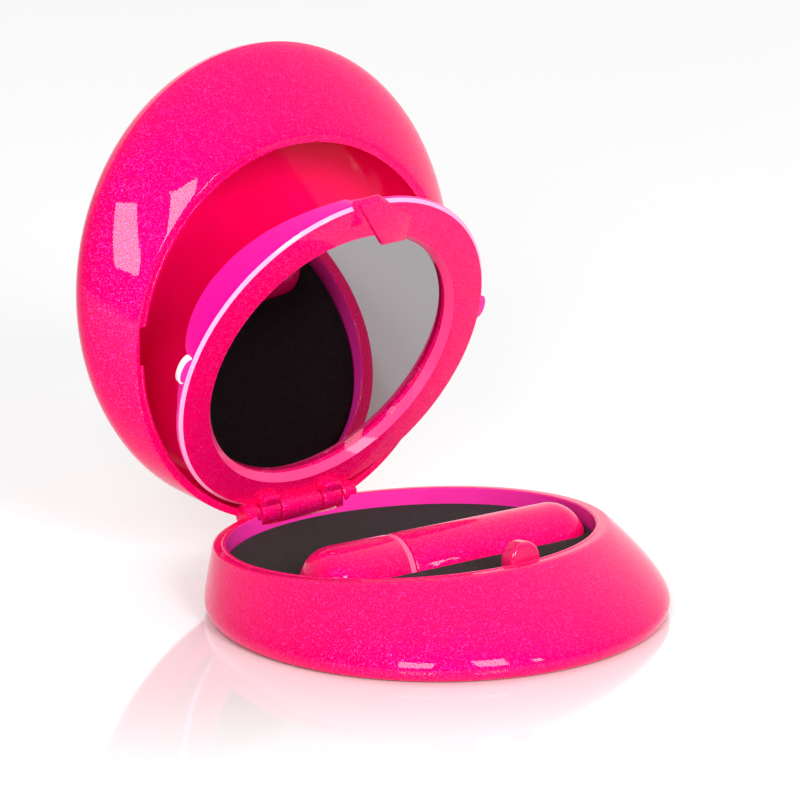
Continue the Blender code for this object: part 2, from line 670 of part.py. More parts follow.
def make_rotor(capsule_pivot):
    """Motor shaft and the half-round weight that makes the capsule shake."""
    shaft = rod_x(SHAFT_RADIUS, MOTOR_SPAN[1] + GAP, WEIGHT_SPAN[1] + 0.8 * MM, sides=12)
    to_object("motor_shaft", shaft, "steel", capsule_pivot)
    bore = SHAFT_RADIUS + GAP
    outline = []
    for step in range(15):
        angle = math.pi * step / 14
        outline.append((WEIGHT_RADIUS * math.cos(angle), WEIGHT_RADIUS * math.sin(angle)))
    hub = bore + 0.9 * MM
    for step in range(9):
        angle = math.pi + math.pi * step / 8
        outline.append((hub * math.cos(angle), hub * math.sin(angle)))
    loops = [[Vector((x, y, -z)) for y, z in outline] for x in WEIGHT_SPAN]
    weight = to_object("eccentric_weight", loft(loops), "brass", capsule_pivot)
    cut(weight, rod_x(bore, WEIGHT_SPAN[0] - MM, WEIGHT_SPAN[1] + MM, sides=12))


def make_power_button(capsule_pivot):
    """Round button flush with the capsule's right end, with a stem to the switch."""
    stem = 1.1 * MM
    shoulder = end_place(BUTTON_RADIUS) - 1.6 * MM
    profile = [(21.9 * MM, stem), (shoulder, stem), (shoulder, BUTTON_RADIUS)]
    profile += [(end_place(share * BUTTON_RADIUS), share * BUTTON_RADIUS) for share in (1.0, 0.7, 0.4)]
    return to_object("power_button", turned_x(profile, sides=24), "magenta_plastic", capsule_pivot)


def make_foam_insert(capsule_pivot):
    """Foam block filling the dish, with the nest for the capsule pressed into its top."""
    floor = FLOOR_THICKNESS + GAP
    loops = [circle(FOAM_RADIUS, RIM_CENTRE_Y, floor, sides=48), rim_circle(FOAM_RADIUS, -FOAM_DROP, 48)]
    foam = to_object("foam_insert", loft(loops), "black_foam")
    profile = capsule_profile(-NEST_CLEARANCE, -CAPSULE_LENGTH, CAPSULE_LENGTH)
    nest = to_object("nest", turned_x(profile, sides=CAPSULE_SIDES), None, capsule_pivot)
    combine(foam, nest, "DIFFERENCE")
    return foam


def build():
    """Make every piece in its place."""
    clear_scene()
    pin = pin_place()
    lid_pivot = pivot("lid_pivot", pin, (-(RIM_TILT + LID_OPEN), 0.0, 0.0))
    frame_pivot = pivot("frame_pivot", pin, (-(RIM_TILT + FRAME_OPEN), 0.0, 0.0))
    capsule_pivot = pivot("capsule_pivot", (0.0, CAPSULE_Y, CAPSULE_Z), (0.0, 0.0, CAPSULE_TURN))
    make_base_shell()
    make_base_floor()
    make_latch_tongue()
    make_hinge_pin()
    make_foam_insert(capsule_pivot)
    make_lid_shell(lid_pivot)
    make_mirror_frame(frame_pivot)
    make_latch_block(frame_pivot)
    make_mirror_glass(frame_pivot)
    make_mirror_backing(frame_pivot)
    make_detent_nub("detent_nub_left", -1.0, frame_pivot)
    make_detent_nub("detent_nub_right", 1.0, frame_pivot)
    make_capsule_body(capsule_pivot)
    make_capsule_cap(capsule_pivot)
    make_seal_ring(capsule_pivot)
    make_batteries(capsule_pivot)
    make_contact_spring(capsule_pivot)
    make_capsule_works(capsule_pivot)
    make_rotor(capsule_pivot)
    make_power_button(capsule_pivot)


build()
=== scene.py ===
"""Looks of a compact case that stands open: pearly shells, a mirror on its own frame, and a capsule in black foam.

Sizes are in millimetres unless a name says otherwise. The hinge, the openings and the capsule's place are read from
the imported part, and every piece rides on one of its bodies.
"""
from __future__ import annotations

import json
import logging
import math
from collections.abc import Iterator
from contextlib import contextmanager
from dataclasses import dataclass, field
from enum import Enum

import bmesh
import bpy
from mathutils import Matrix, Vector

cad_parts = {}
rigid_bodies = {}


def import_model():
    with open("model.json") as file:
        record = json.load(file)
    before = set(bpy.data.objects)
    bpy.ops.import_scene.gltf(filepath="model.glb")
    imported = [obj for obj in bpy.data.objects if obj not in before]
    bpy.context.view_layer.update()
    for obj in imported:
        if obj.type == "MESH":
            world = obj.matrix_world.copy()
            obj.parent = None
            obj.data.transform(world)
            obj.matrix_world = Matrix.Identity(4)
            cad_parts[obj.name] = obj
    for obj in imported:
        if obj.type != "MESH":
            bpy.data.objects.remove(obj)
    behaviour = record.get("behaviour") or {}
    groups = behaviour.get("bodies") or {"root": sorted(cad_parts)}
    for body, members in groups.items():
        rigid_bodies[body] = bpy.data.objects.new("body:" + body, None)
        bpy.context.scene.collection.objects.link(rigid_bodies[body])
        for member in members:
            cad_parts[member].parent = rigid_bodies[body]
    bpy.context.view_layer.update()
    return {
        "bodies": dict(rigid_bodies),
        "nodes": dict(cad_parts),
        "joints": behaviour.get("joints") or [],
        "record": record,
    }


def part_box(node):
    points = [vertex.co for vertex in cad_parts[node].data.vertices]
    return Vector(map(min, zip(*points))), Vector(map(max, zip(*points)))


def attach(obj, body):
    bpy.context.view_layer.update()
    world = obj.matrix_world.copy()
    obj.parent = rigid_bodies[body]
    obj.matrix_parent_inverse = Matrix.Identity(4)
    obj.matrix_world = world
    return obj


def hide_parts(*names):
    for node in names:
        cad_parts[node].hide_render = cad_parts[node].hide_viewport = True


MM = 0.001
LOG = logging.getLogger("compact")


class Side(Enum):
    """The two sides of the case, as seen from its front."""

    LEFT = -1.0
    RIGHT = 1.0


# ---------------------------------------------------------------------------------------------- finishes


class NodePen:
    """Writes shader nodes for one material."""

    def __init__(self, name: str) -> None:
        """Start an empty material.

        Args:
            name: the material's name.
        """
        self.material = bpy.data.materials.new(name)
        self.material.use_nodes = True
        self.tree = self.material.node_tree
        self.shader = self.tree.nodes["Principled BSDF"]

    def add(self, kind: str, **settings: object) -> bpy.types.Node:
        """Add a node.

        Args:
            kind: the node's type name.
            settings: attributes of the node, and values of inputs as in_NAME, with _ for a space.

        Returns:
            The node.
        """
        node = self.tree.nodes.new(kind)
        for key, value in settings.items():
            if key.startswith("in_"):
                node.inputs[key[3:].replace("_", " ")].default_value = value
            else:
                setattr(node, key, value)
        return node

    def join(self, source: bpy.types.NodeSocket, target: bpy.types.NodeSocket) -> None:
        """Link two sockets."""
        self.tree.links.new(source, target)

    def drive(self, name: str, source: bpy.types.NodeSocket) -> None:
        """Link a socket to one of the shader's own."""
        self.join(source, self.shader.inputs[name])

    def fix(self, **values: object) -> None:
        """Set the shader's own sockets, named with _ for a space."""
        for key, value in values.items():
            self.shader.inputs[key.replace("_", " ")].default_value = value

    def place(self) -> bpy.types.NodeSocket:
        """The Object coordinates."""
        return self.add("ShaderNodeTexCoord").outputs["Object"]

    def cells(self, grain: float) -> bpy.types.Node:
        """Voronoi cells of a size in millimetres."""
        node = self.add("ShaderNodeTexVoronoi", in_Scale=1.0 / (grain * MM))
        self.join(self.place(), node.inputs["Vector"])
        return node

    def noise(self, grain: float, detail: float = 3.0) -> bpy.types.Node:
        """Noise whose largest marks have a size in millimetres."""
        node = self.add("ShaderNodeTexNoise", in_Scale=1.0 / (grain * MM), in_Detail=detail)
        self.join(self.place(), node.inputs["Vector"])
        return node

    def spread(self, source: bpy.types.NodeSocket, low: float, high: float) -> bpy.types.NodeSocket:
        """Map 0 to 1 onto another range."""
        node = self.add("ShaderNodeMapRange", in_To_Min=low, in_To_Max=high)
        self.join(source, node.inputs["Value"])
        return node.outputs["Result"]

    def ramp(self, source: bpy.types.NodeSocket, stops: list[tuple[float, tuple]]) -> bpy.types.NodeSocket:
        """Colour ramp.

        Args:
            source: the value that picks the colour.
            stops: places and colours, lowest first.

        Returns:
            The colour.
        """
        node = self.add("ShaderNodeValToRGB")
        items = node.color_ramp.elements
        items[0].position, items[0].color = stops[0]
        items[-1].position, items[-1].color = stops[-1]
        for place, colour in stops[1:-1]:
            items.new(place).color = colour
        self.join(source, node.inputs["Fac"])
        return node.outputs["Color"]

    def paint(self, source: bpy.types.NodeSocket, *stops: tuple[float, tuple]) -> None:
        """Colour the shader by a ramp."""
        self.drive("Base Color", self.ramp(source, list(stops)))

    def roughen(self, source: bpy.types.NodeSocket, middle: float, share: float) -> None:
        """Let the shader's roughness drift round a middle value by a share of it."""
        self.drive("Roughness", self.spread(source, middle * (1.0 - share), middle * (1.0 + share)))

    def tilted(self, colour: bpy.types.NodeSocket, strength: float) -> bpy.types.NodeSocket:
        """A normal that each cell tilts its own way.

        Args:
            colour: the cells' random colours.
            strength: how far they tilt.

        Returns:
            The normal.
        """
        centred = self.add("ShaderNodeVectorMath", operation="SUBTRACT")
        centred.inputs[1].default_value = (0.5, 0.5, 0.5)
        self.join(colour, centred.inputs[0])
        scaled = self.add("ShaderNodeVectorMath", operation="SCALE")
        scaled.inputs["Scale"].default_value = strength
        self.join(centred.outputs[0], scaled.inputs[0])
        total = self.add("ShaderNodeVectorMath", operation="ADD")
        self.join(self.add("ShaderNodeNewGeometry").outputs["Normal"], total.inputs[0])
        self.join(scaled.outputs[0], total.inputs[1])
        level = self.add("ShaderNodeVectorMath", operation="NORMALIZE")
        self.join(total.outputs[0], level.inputs[0])
        return level.outputs[0]

    def bump(self, height: bpy.types.NodeSocket, depth: float, strength: float = 1.0) -> None:
        """Bump the shader.

        Args:
            height: the height, 0 to 1.
            depth: the real depth in millimetres.
            strength: how much of it shows.
        """
        node = self.add("ShaderNodeBump", in_Strength=strength, in_Distance=depth * MM)
        self.join(height, node.inputs["Height"])
        self.drive("Normal", node.outputs["Normal"])


@dataclass(frozen=True)
class PearlGlitter:
    """Moulded plastic full of fine pearl flakes under a clear gloss."""

    name: str = "pearl_glitter"
    body: tuple = (0.97, 0.0, 0.135, 1.0)
    deep: tuple = (0.86, 0.0, 0.115, 1.0)
    fleck: tuple = (1.0, 0.05, 0.42, 1.0)
    grain: float = 0.15
    tilt: float = 0.62
    metallic: float = 0.32
    roughness: float = 0.38
    bright_share: float = 0.86
    body_share: float = 0.45
    rough_drift: float = 0.1
    coat_roughness: float = 0.035
    coat_index: float = 1.26

    def make(self) -> bpy.types.Material:
        """The material: flakes tilt the light under a smooth coat, and a few of them are paler."""
        pen = NodePen(self.name)
        cells = pen.cells(self.grain)
        split = pen.add("ShaderNodeSeparateColor")
        pen.join(cells.outputs["Color"], split.inputs["Color"])
        pen.paint(
            split.outputs["Red"],
            (0.0, self.deep),
            (self.body_share, self.body),
            (self.bright_share, self.body),
            (1.0, self.fleck),
        )
        pen.drive("Normal", pen.tilted(cells.outputs["Color"], self.tilt))
        low, high = self.roughness - self.rough_drift, self.roughness + self.rough_drift
        pen.drive("Roughness", pen.spread(split.outputs["Green"], low, high))
        pen.fix(Metallic=self.metallic, Specular_IOR_Level=0.0)
        pen.fix(Coat_Weight=1.0, Coat_Roughness=self.coat_roughness, Coat_IOR=self.coat_index)
        return pen.material


@dataclass(frozen=True)
class GlossPlastic:
    """Smooth moulded plastic with faint cloudiness."""

    name: str
    colour: tuple
    second: tuple
    roughness: float = 0.22
    glow: float = 0.0
    clear: float = 0.0
    cloud_size: float = 9.0
    peel_size: float = 0.5
    peel_depth: float = 0.004
    coat_index: float = 1.28
    scatter: tuple = (0.004, 0.0006, 0.0012)

    def make(self) -> bpy.types.Material:
        """The material: colour and gloss drift a little over the surface."""
        pen = NodePen(self.name)
        cloud = pen.noise(self.cloud_size, 2.0)
        pen.paint(cloud.outputs["Fac"], (0.3, self.colour), (0.7, self.second))
        fine = pen.noise(self.peel_size, 2.0)
        pen.roughen(fine.outputs["Fac"], self.roughness, 0.15)
        pen.bump(fine.outputs["Fac"], self.peel_depth, 0.3)
        pen.fix(Coat_Weight=0.7, Coat_Roughness=0.05, Coat_IOR=self.coat_index, Specular_IOR_Level=0.05)
        pen.fix(Subsurface_Weight=self.glow, Transmission_Weight=self.clear)
        pen.fix(Subsurface_Radius=self.scatter, Subsurface_Scale=1.0)
        return pen.material


@dataclass(frozen=True)
class Foam:
    """Flocked foam: matt black with a warm cast and a short nap."""

    name: str = "black_foam_nap"
    dark: tuple = (0.007, 0.004, 0.005, 1.0)
    light: tuple = (0.020, 0.013, 0.014, 1.0)
    pore: float = 0.32
    fibre: float = 0.45
    depth: float = 0.16

    def make(self) -> bpy.types.Material:
        """The material: small pores, and light and dark fibres."""
        pen = NodePen(self.name)
        pores = pen.cells(self.pore)
        fibre = pen.noise(self.fibre, 4.0)
        pen.paint(fibre.outputs["Fac"], (0.3, self.dark), (0.7, self.light))
        both = pen.add("ShaderNodeMath", operation="MULTIPLY")
        pen.join(pores.outputs["Distance"], both.inputs[0])
        pen.join(fibre.outputs["Fac"], both.inputs[1])
        pen.bump(both.outputs[0], self.depth, 0.8)
        pen.fix(Roughness=0.95, Sheen_Weight=0.04, Sheen_Roughness=0.5, Specular_IOR_Level=0.05)
        return pen.material


@dataclass(frozen=True)
class MirrorCoat:
    """Silvered mirror with the faintest unevenness."""

    name: str = "silvered_mirror"
    colour: tuple = (0.40, 0.39, 0.40, 1.0)
    tint: tuple = (0.394, 0.3861, 0.396, 1.0)
    haze_size: float = 14.0
    haze: float = 0.012

    def make(self) -> bpy.types.Material:
        """The material: metal, almost perfectly smooth."""
        pen = NodePen(self.name)
        haze = pen.noise(self.haze_size, 2.0)
        pen.drive("Roughness", pen.spread(haze.outputs["Fac"], 0.0, self.haze))
        pen.paint(haze.outputs["Fac"], (0.2, self.tint), (0.8, self.colour))
        pen.fix(Metallic=1.0)
        return pen.material


@dataclass(frozen=True)
class DrawnMetal:
    """Plated or drawn metal with fine lines along its length."""

    name: str
    colour: tuple
    worn: tuple
    roughness: float = 0.28
    line: float = 0.15
    stretch: float = 0.05
    stain_size: float = 2.5

    def make(self) -> bpy.types.Material:
        """The material: fine streaks along X and slight tarnish."""
        pen = NodePen(self.name)
        drawn = pen.add("ShaderNodeMapping", in_Scale=(self.stretch, 1.0, 1.0))
        pen.join(pen.place(), drawn.inputs["Vector"])
        lines = pen.add("ShaderNodeTexNoise", in_Scale=1.0 / (self.line * MM), in_Detail=3.0)
        pen.join(drawn.outputs["Vector"], lines.inputs["Vector"])
        pen.roughen(lines.outputs["Fac"], self.roughness, 0.3)
        stain = pen.noise(self.stain_size, 4.0)
        pen.paint(stain.outputs["Fac"], (0.35, self.colour), (0.75, self.worn))
        pen.bump(lines.outputs["Fac"], 0.006, 0.4)
        pen.fix(Metallic=1.0)
        return pen.material


@dataclass(frozen=True)
class Board:
    """Circuit board laminate with copper showing through the lacquer."""

    name: str = "board_laminate"
    lacquer: tuple = (0.01, 0.10, 0.03, 1.0)
    copper: tuple = (0.06, 0.24, 0.07, 1.0)
    pitch: float = 4.0

    def make(self) -> bpy.types.Material:
        """The material: tracks as raised stripes in the lacquer."""
        pen = NodePen(self.name)
        scale = 1.0 / (self.pitch * MM)
        tracks = pen.add("ShaderNodeTexWave", in_Scale=scale, in_Distortion=3.0, bands_direction="Y")
        pen.join(pen.place(), tracks.inputs["Vector"])
        pen.paint(tracks.outputs["Fac"], (0.62, self.lacquer), (0.68, self.copper))
        pen.bump(tracks.outputs["Fac"], 0.03, 0.5)
        pen.fix(Roughness=0.35)
        return pen.material


@dataclass(frozen=True)
class Table:
    """White table top whose gloss fades out in front of the case."""

    name: str = "white_table"
    colour: tuple = (0.82, 0.82, 0.82, 1.0)
    shade: tuple = (0.8118, 0.8118, 0.8118, 1.0)
    cloud_size: float = 60.0
    fade_along: tuple = (-0.623, -0.782, 0.0)
    fade_start: float = 0.034
    fade_end: float = 0.105
    coat_index: float = 2.7

    def make(self) -> bpy.types.Material:
        """The material: pale and matt under a coat that reflects the case's near side."""
        pen = NodePen(self.name)
        tone = pen.noise(self.cloud_size, 2.0)
        pen.paint(tone.outputs["Fac"], (0.3, self.shade), (0.7, self.colour))
        towards = pen.add("ShaderNodeVectorMath", operation="DOT_PRODUCT")
        towards.inputs[1].default_value = self.fade_along
        pen.join(pen.place(), towards.inputs[0])
        polish = pen.add(
            "ShaderNodeMapRange",
            interpolation_type="SMOOTHSTEP",
            in_From_Min=self.fade_start,
            in_From_Max=self.fade_end,
            in_To_Min=1.0,
            in_To_Max=0.0,
        )
        pen.join(towards.outputs["Value"], polish.inputs["Value"])
        pen.drive("Coat Weight", polish.outputs["Result"])
        pen.fix(Roughness=0.6, Specular_IOR_Level=0.1, Coat_Roughness=0.06, Coat_IOR=self.coat_index)
        return pen.material


class Finishes:
    """All finishes of the case, made once."""

    def __init__(self) -> None:
        """Make every material."""
        self.pearl = PearlGlitter().make()
        self.inside = self.plastic("magenta_inside", (0.95, 0.03, 0.36), (0.90, 0.025, 0.32), 0.2, 0.15)
        self.lining = self.plastic("lid_lining", (0.95, 0.0, 0.12), (0.90, 0.0, 0.09), 0.3, 0.1)
        self.skirt = self.plastic("skirt_magenta", (0.97, 0.0, 0.30), (0.92, 0.0, 0.27), 0.25, 0.1)
        # The ring's chamfer is painted pale pink: a painted highlight where the chamfer catches the light.
        self.edge = self.plastic("chamfer_painted_highlight", (0.98, 0.34, 0.60), (0.98, 0.38, 0.63), 0.15)
        self.tongue = self.plastic("clear_pink", (0.97, 0.01, 0.16), (0.92, 0.01, 0.14), 0.06, 0.0, 0.35)
        self.seal = self.plastic("pale_pink", (0.92, 0.12, 0.30), (0.85, 0.10, 0.26), 0.35)
        # The window's bevel is painted a paler pink: a painted highlight along the bevel.
        self.bevel = self.plastic("bevel_painted_highlight", (0.95, 0.06, 0.24), (0.90, 0.05, 0.21), 0.35)
        # The nubs' pale outside is a painted highlight on their curved edges, round a pink core.
        self.nub = self.plastic("nub_painted_highlight", (0.86, 0.82, 0.85), (0.80, 0.76, 0.80), 0.3, 0.3)
        self.dark = self.plastic("dark_moulding", (0.02, 0.02, 0.02), (0.03, 0.03, 0.03), 0.45)
        self.foam = Foam().make()
        self.mirror = MirrorCoat().make()
        self.steel = DrawnMetal("bright_steel", (0.60, 0.60, 0.61, 1.0), (0.48, 0.47, 0.46, 1.0)).make()
        self.brass = DrawnMetal("pressed_brass", (0.78, 0.55, 0.22, 1.0), (0.55, 0.36, 0.13, 1.0)).make()
        self.board = Board().make()
        self.table = Table().make()

    @staticmethod
    def plastic(name: str, colour: tuple, second: tuple, *rest: float) -> bpy.types.Material:
        """A gloss plastic between two colours; the rest is its roughness, glow and clearness."""
        return GlossPlastic(name, (*colour, 1.0), (*second, 1.0), *rest).make()


# ---------------------------------------------------------------------------------------------- modelling


@dataclass(frozen=True)
class Ring:
    """One turn of a wall: a circle round X = 0.

    radius, y and z give its size and centre, tilt how far its front is lifted, stretch how much longer it is front to
    back than across, and soft how far from it the wall starts to round it over.
    """

    radius: float
    y: float
    z: float
    tilt: float = 0.0
    stretch: float = 1.0
    soft: float = 0.0

    def towards(self, other: "Ring", share: float) -> "Ring":
        """The ring that share of the way to another."""
        return Ring(
            self.radius + (other.radius - self.radius) * share,
            self.y + (other.y - self.y) * share,
            self.z + (other.z - self.z) * share,
            self.tilt + (other.tilt - self.tilt) * share,
            self.stretch + (other.stretch - self.stretch) * share,
        )

    def apart(self, other: "Ring") -> float:
        """How far apart two rings are along the wall."""
        return math.hypot(other.radius - self.radius, other.y - self.y, other.z - self.z)


def round_over(rings: list[Ring], closed: bool = False, steps: int = 4) -> list[Ring]:
    """Round the corners of a run of rings that ask for it.

    Args:
        rings: the run.
        closed: whether the last ring joins the first.
        steps: how many rings a rounded corner gets, less one.

    Returns:
        The run with each soft ring replaced by an arc of rings.
    """
    made: list[Ring] = []
    count = len(rings)
    for index, ring in enumerate(rings):
        open_end = not closed and index in (0, count - 1)
        if ring.soft <= 0.0 or open_end:
            made.append(ring)
            continue
        before, after = rings[index - 1], rings[(index + 1) % count]
        start = ring.towards(before, min(ring.soft / ring.apart(before), 0.49))
        end = ring.towards(after, min(ring.soft / ring.apart(after), 0.49))
        for step in range(steps + 1):
            share = step / steps
            made.append(start.towards(ring, share).towards(ring.towards(end, share), share))
    return made


def deselect() -> None:
    """Leave nothing selected."""
    bpy.ops.object.select_all(action="DESELECT")


def take(piece: bpy.types.Object) -> None:
    """Make a piece the only one selected, and active."""
    deselect()
    piece.select_set(True)
    bpy.context.view_layer.objects.active = piece


@contextmanager
def editing(piece: bpy.types.Object) -> Iterator[None]:
    """Edit a piece, with all of its mesh selected at first."""
    take(piece)
    bpy.ops.object.mode_set(mode="EDIT")
    bpy.ops.mesh.select_all(action="SELECT")
    yield
    bpy.ops.object.mode_set(mode="OBJECT")


def settle(piece: bpy.types.Object) -> None:
    """Move a piece's place into its mesh."""
    take(piece)
    bpy.ops.object.transform_apply(location=True, rotation=True, scale=True)


def reshape(before: Ring, after: Ring) -> None:
    """Turn the selected ring from one ring's size and tilt to the next one's."""
    middle = (0.0, after.y * MM, after.z * MM)
    grow = after.radius / before.radius
    lengthen = after.stretch / before.stretch
    if abs(before.tilt - after.tilt) < 1e-6 and abs(lengthen - 1.0) < 1e-6:
        bpy.ops.transform.resize(value=(grow, grow, grow), center_override=middle)
        return
    bpy.ops.transform.rotate(value=-before.tilt, orient_axis="X", center_override=middle)
    bpy.ops.transform.resize(value=(grow, grow * lengthen, 1.0), center_override=middle)
    bpy.ops.transform.rotate(value=after.tilt, orient_axis="X", center_override=middle)


def pick(piece: bpy.types.Object, chosen: set[int]) -> None:
    """Select some vertices of the piece that is being edited, and nothing else."""
    bpy.ops.mesh.select_all(action="DESELECT")
    bpy.ops.mesh.select_mode(type="VERT")
    mesh = bmesh.from_edit_mesh(piece.data)
    mesh.verts.ensure_lookup_table()
    for index in chosen:
        mesh.verts[index].select = True
    mesh.select_flush(True)
    bmesh.update_edit_mesh(piece.data)


def turned(name: str, rings: list[Ring], sides: int, closed: bool = False) -> bpy.types.Object:
    """A wall made of one circle that is extruded from ring to ring.

    Args:
        name: the piece's name.
        rings: the circles in order.
        sides: how many sides they have.
        closed: join the last ring to the first; otherwise both ends are capped.

    Returns:
        The piece, with its place in its mesh.
    """
    deselect()
    first = rings[0]
    bpy.ops.mesh.primitive_circle_add(
        vertices=sides,
        radius=first.radius * MM,
        location=(0.0, first.y * MM, first.z * MM),
        rotation=(-first.tilt, 0.0, 0.0),
    )
    piece = bpy.context.active_object
    piece.name = name
    settle(piece)
    total = sides * len(rings)
    with editing(piece):
        if first.stretch != 1.0:
            reshape(Ring(first.radius, first.y, first.z, first.tilt), first)
        for before, after in zip(rings, rings[1:]):
            step = (0.0, (after.y - before.y) * MM, (after.z - before.z) * MM)
            bpy.ops.mesh.extrude_region_move(TRANSFORM_OT_translate={"value": step})
            reshape(before, after)
        if closed:
            pick(piece, set(range(sides)) | set(range(total - sides, total)))
            bpy.ops.mesh.bridge_edge_loops()
        else:
            for start in (0, total - sides):
                pick(piece, set(range(start, start + sides)))
                bpy.ops.mesh.edge_face_add()
                bpy.ops.mesh.poke()
        bpy.ops.mesh.select_all(action="SELECT")
        bpy.ops.mesh.normals_make_consistent(inside=False)
    return piece


def block(name: str, low: tuple, high: tuple, edge: float = 0.0, segments: int = 3) -> bpy.types.Object:
    """A block between two corners with rounded edges.

    Args:
        name: the piece's name.
        low: its lowest corner.
        high: its highest corner.
        edge: how far its edges are rounded.
        segments: how finely.

    Returns:
        The piece.
    """
    deselect()
    size = [(high[axis] - low[axis]) * MM for axis in range(3)]
    centre = [(high[axis] + low[axis]) / 2.0 * MM for axis in range(3)]
    bpy.ops.mesh.primitive_cube_add(size=1.0, location=centre)
    piece = bpy.context.active_object
    piece.name = name
    piece.scale = size
    settle(piece)
    if edge > 0.0:
        with editing(piece):
            bpy.ops.mesh.bevel(offset=edge * MM, segments=segments, affect="EDGES")
    return piece


def rod(
    name: str, radius: float, start: float, end: float, y: float = 0.0, z: float = 0.0, edge: float = 0.0
) -> bpy.types.Object:
    """A rod along X.

    Args:
        name: the piece's name.
        radius: its radius.
        start: where it starts along X.
        end: where it ends.
        y: where its axis lies, front to back.
        z: how high its axis lies.
        edge: how far the edges of its ends are rounded.

    Returns:
        The piece.
    """
    deselect()
    middle = ((start + end) / 2.0 * MM, y * MM, z * MM)
    bpy.ops.mesh.primitive_cylinder_add(
        vertices=64,
        radius=radius * MM,
        depth=abs(end - start) * MM,
        location=middle,
        rotation=(0.0, math.pi / 2.0, 0.0),
    )
    piece = bpy.context.active_object
    piece.name = name
    settle(piece)
    if edge > 0.0:
        soften(piece, edge)
    return piece


def modify(piece: bpy.types.Object, kind: str, **settings: object) -> None:
    """Add a modifier and apply it.

    Args:
        piece: the piece.
        kind: the modifier's type.
        settings: its values.
    """
    take(piece)
    made = piece.modifiers.new(kind.lower(), kind)
    for key, value in settings.items():
        setattr(made, key, value)
    bpy.ops.object.modifier_apply(modifier=made.name)


def soften(piece: bpy.types.Object, width: float, segments: int = 3, angle: float = 50.0) -> None:
    """Round the edges of a piece that are sharper than an angle in degrees."""
    limit = math.radians(angle)
    modify(piece, "BEVEL", width=width * MM, segments=segments, limit_method="ANGLE", angle_limit=limit)


def combine(piece: bpy.types.Object, tool: bpy.types.Object, how: str = "DIFFERENCE") -> None:
    """Cut a tool out of a piece, or join it on, and remove the tool."""
    modify(piece, "BOOLEAN", operation=how, object=tool, solver="EXACT")
    bpy.data.objects.remove(tool, do_unlink=True)


def place(piece: bpy.types.Object, turn: Matrix) -> None:
    """Put a piece that was modelled in its own axes where it belongs."""
    piece.data.transform(turn)
    piece.data.update()


def dress(
    piece: bpy.types.Object,
    finish: bpy.types.Material,
    body: str,
    nodes: tuple[str, ...] = (),
    angle: float = 32.0,
) -> bpy.types.Object:
    """Give a piece its finish and let it ride.

    Args:
        piece: the piece.
        finish: its material.
        body: the body it rides on.
        nodes: the plain solids it stands for.
        angle: edges flatter than this are shaded smooth, in degrees.

    Returns:
        The piece.
    """
    with editing(piece):
        bpy.ops.mesh.remove_doubles(threshold=1e-6)
        bpy.ops.mesh.normals_make_consistent(inside=False)
    bpy.ops.object.shade_smooth_by_angle(angle=math.radians(angle))
    piece.data.materials.clear()
    piece.data.materials.append(finish)
    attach(piece, body)
    if nodes:
        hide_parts(*nodes)
    deselect()
    LOG.info("%s rides on %s, %d faces", piece.name, body, len(piece.data.polygons))
    return piece


def second_finish(piece: bpy.types.Object, finish: bpy.types.Material, faces: list[int]) -> None:
    """Give some faces of a dressed piece another finish.

    Args:
        piece: the piece.
        finish: the other material.
        faces: the numbers of the faces.
    """
    piece.data.materials.append(finish)
    place_of = len(piece.data.materials) - 1
    for index in faces:
        piece.data.polygons[index].material_index = place_of


# ---------------------------------------------------------------------------------------------- the case


def joint_limit(frame: dict, name: str) -> float:
    """How far a hinge turns from rest to its other limit, in radians."""
    for joint in frame["joints"]:
        if joint["name"] == name:
            low, high = joint["range_deg"]
            return math.radians(low if abs(low) > abs(high) else high)
    raise ValueError(f"there is no hinge named {name}")


@dataclass
class Rims:
    """The circle in which the dish and the lid meet, low at the hinge and high at the latch."""

    centre_y: float = 8.2
    centre_z: float = 12.15
    tilt: float = math.radians(5.3)
    gap: float = 0.15
    pin_back: float = 33.0
    frame_back: float = 32.3
    ease: float = 1.35

    def flare(self, share: float) -> float:
        """How far a wall has spread at a share of its height."""
        return 1.0 - (1.0 - share) ** self.ease

    def ring(self, radius: float, height: float, soft: float = 0.0) -> Ring:
        """A ring parallel to the rims' plane and that far above it."""
        y = self.centre_y + height * math.sin(self.tilt)
        z = self.centre_z + height * math.cos(self.tilt)
        return Ring(radius, y, z, self.tilt, 1.0, soft)


@dataclass
class Hinge:
    """Where the pin lies and how far the lid and the mirror frame stand open."""

    frame: dict
    rims: Rims
    knuckle: float = 2.1
    bore: float = 0.95
    lid_half: float = 4.5
    arm_span: tuple[float, float] = (4.9, 9.0)
    base_span: tuple[float, float] = (9.4, 12.4)
    pin_half: float = 12.05

    def __post_init__(self) -> None:
        """Read the pin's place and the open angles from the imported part."""
        low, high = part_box("hinge_pin")
        self.pin = (low + high) / 2.0
        self.lid_turn = self.opened("lid_hinge")
        self.mirror_turn = self.opened("mirror_hinge")

    def opened(self, joint: str) -> Matrix:
        """The move that takes a piece modelled shut, with the pin at its origin, to where it stands open."""
        turn = Matrix.Rotation(joint_limit(self.frame, joint) - self.rims.tilt, 4, "X")
        return Matrix.Translation(self.pin) @ turn

    def knuckle_piece(self, name: str, start: float, end: float) -> bpy.types.Object:
        """A knuckle on the pin's axis, in the pin's own axes, bored as far as the pin's ends."""
        piece = rod(name, self.knuckle, start, end, edge=0.4)
        combine(piece, rod("bore", self.bore, max(start - 1.0, -self.pin_half), min(end + 1.0, self.pin_half)))
        return piece


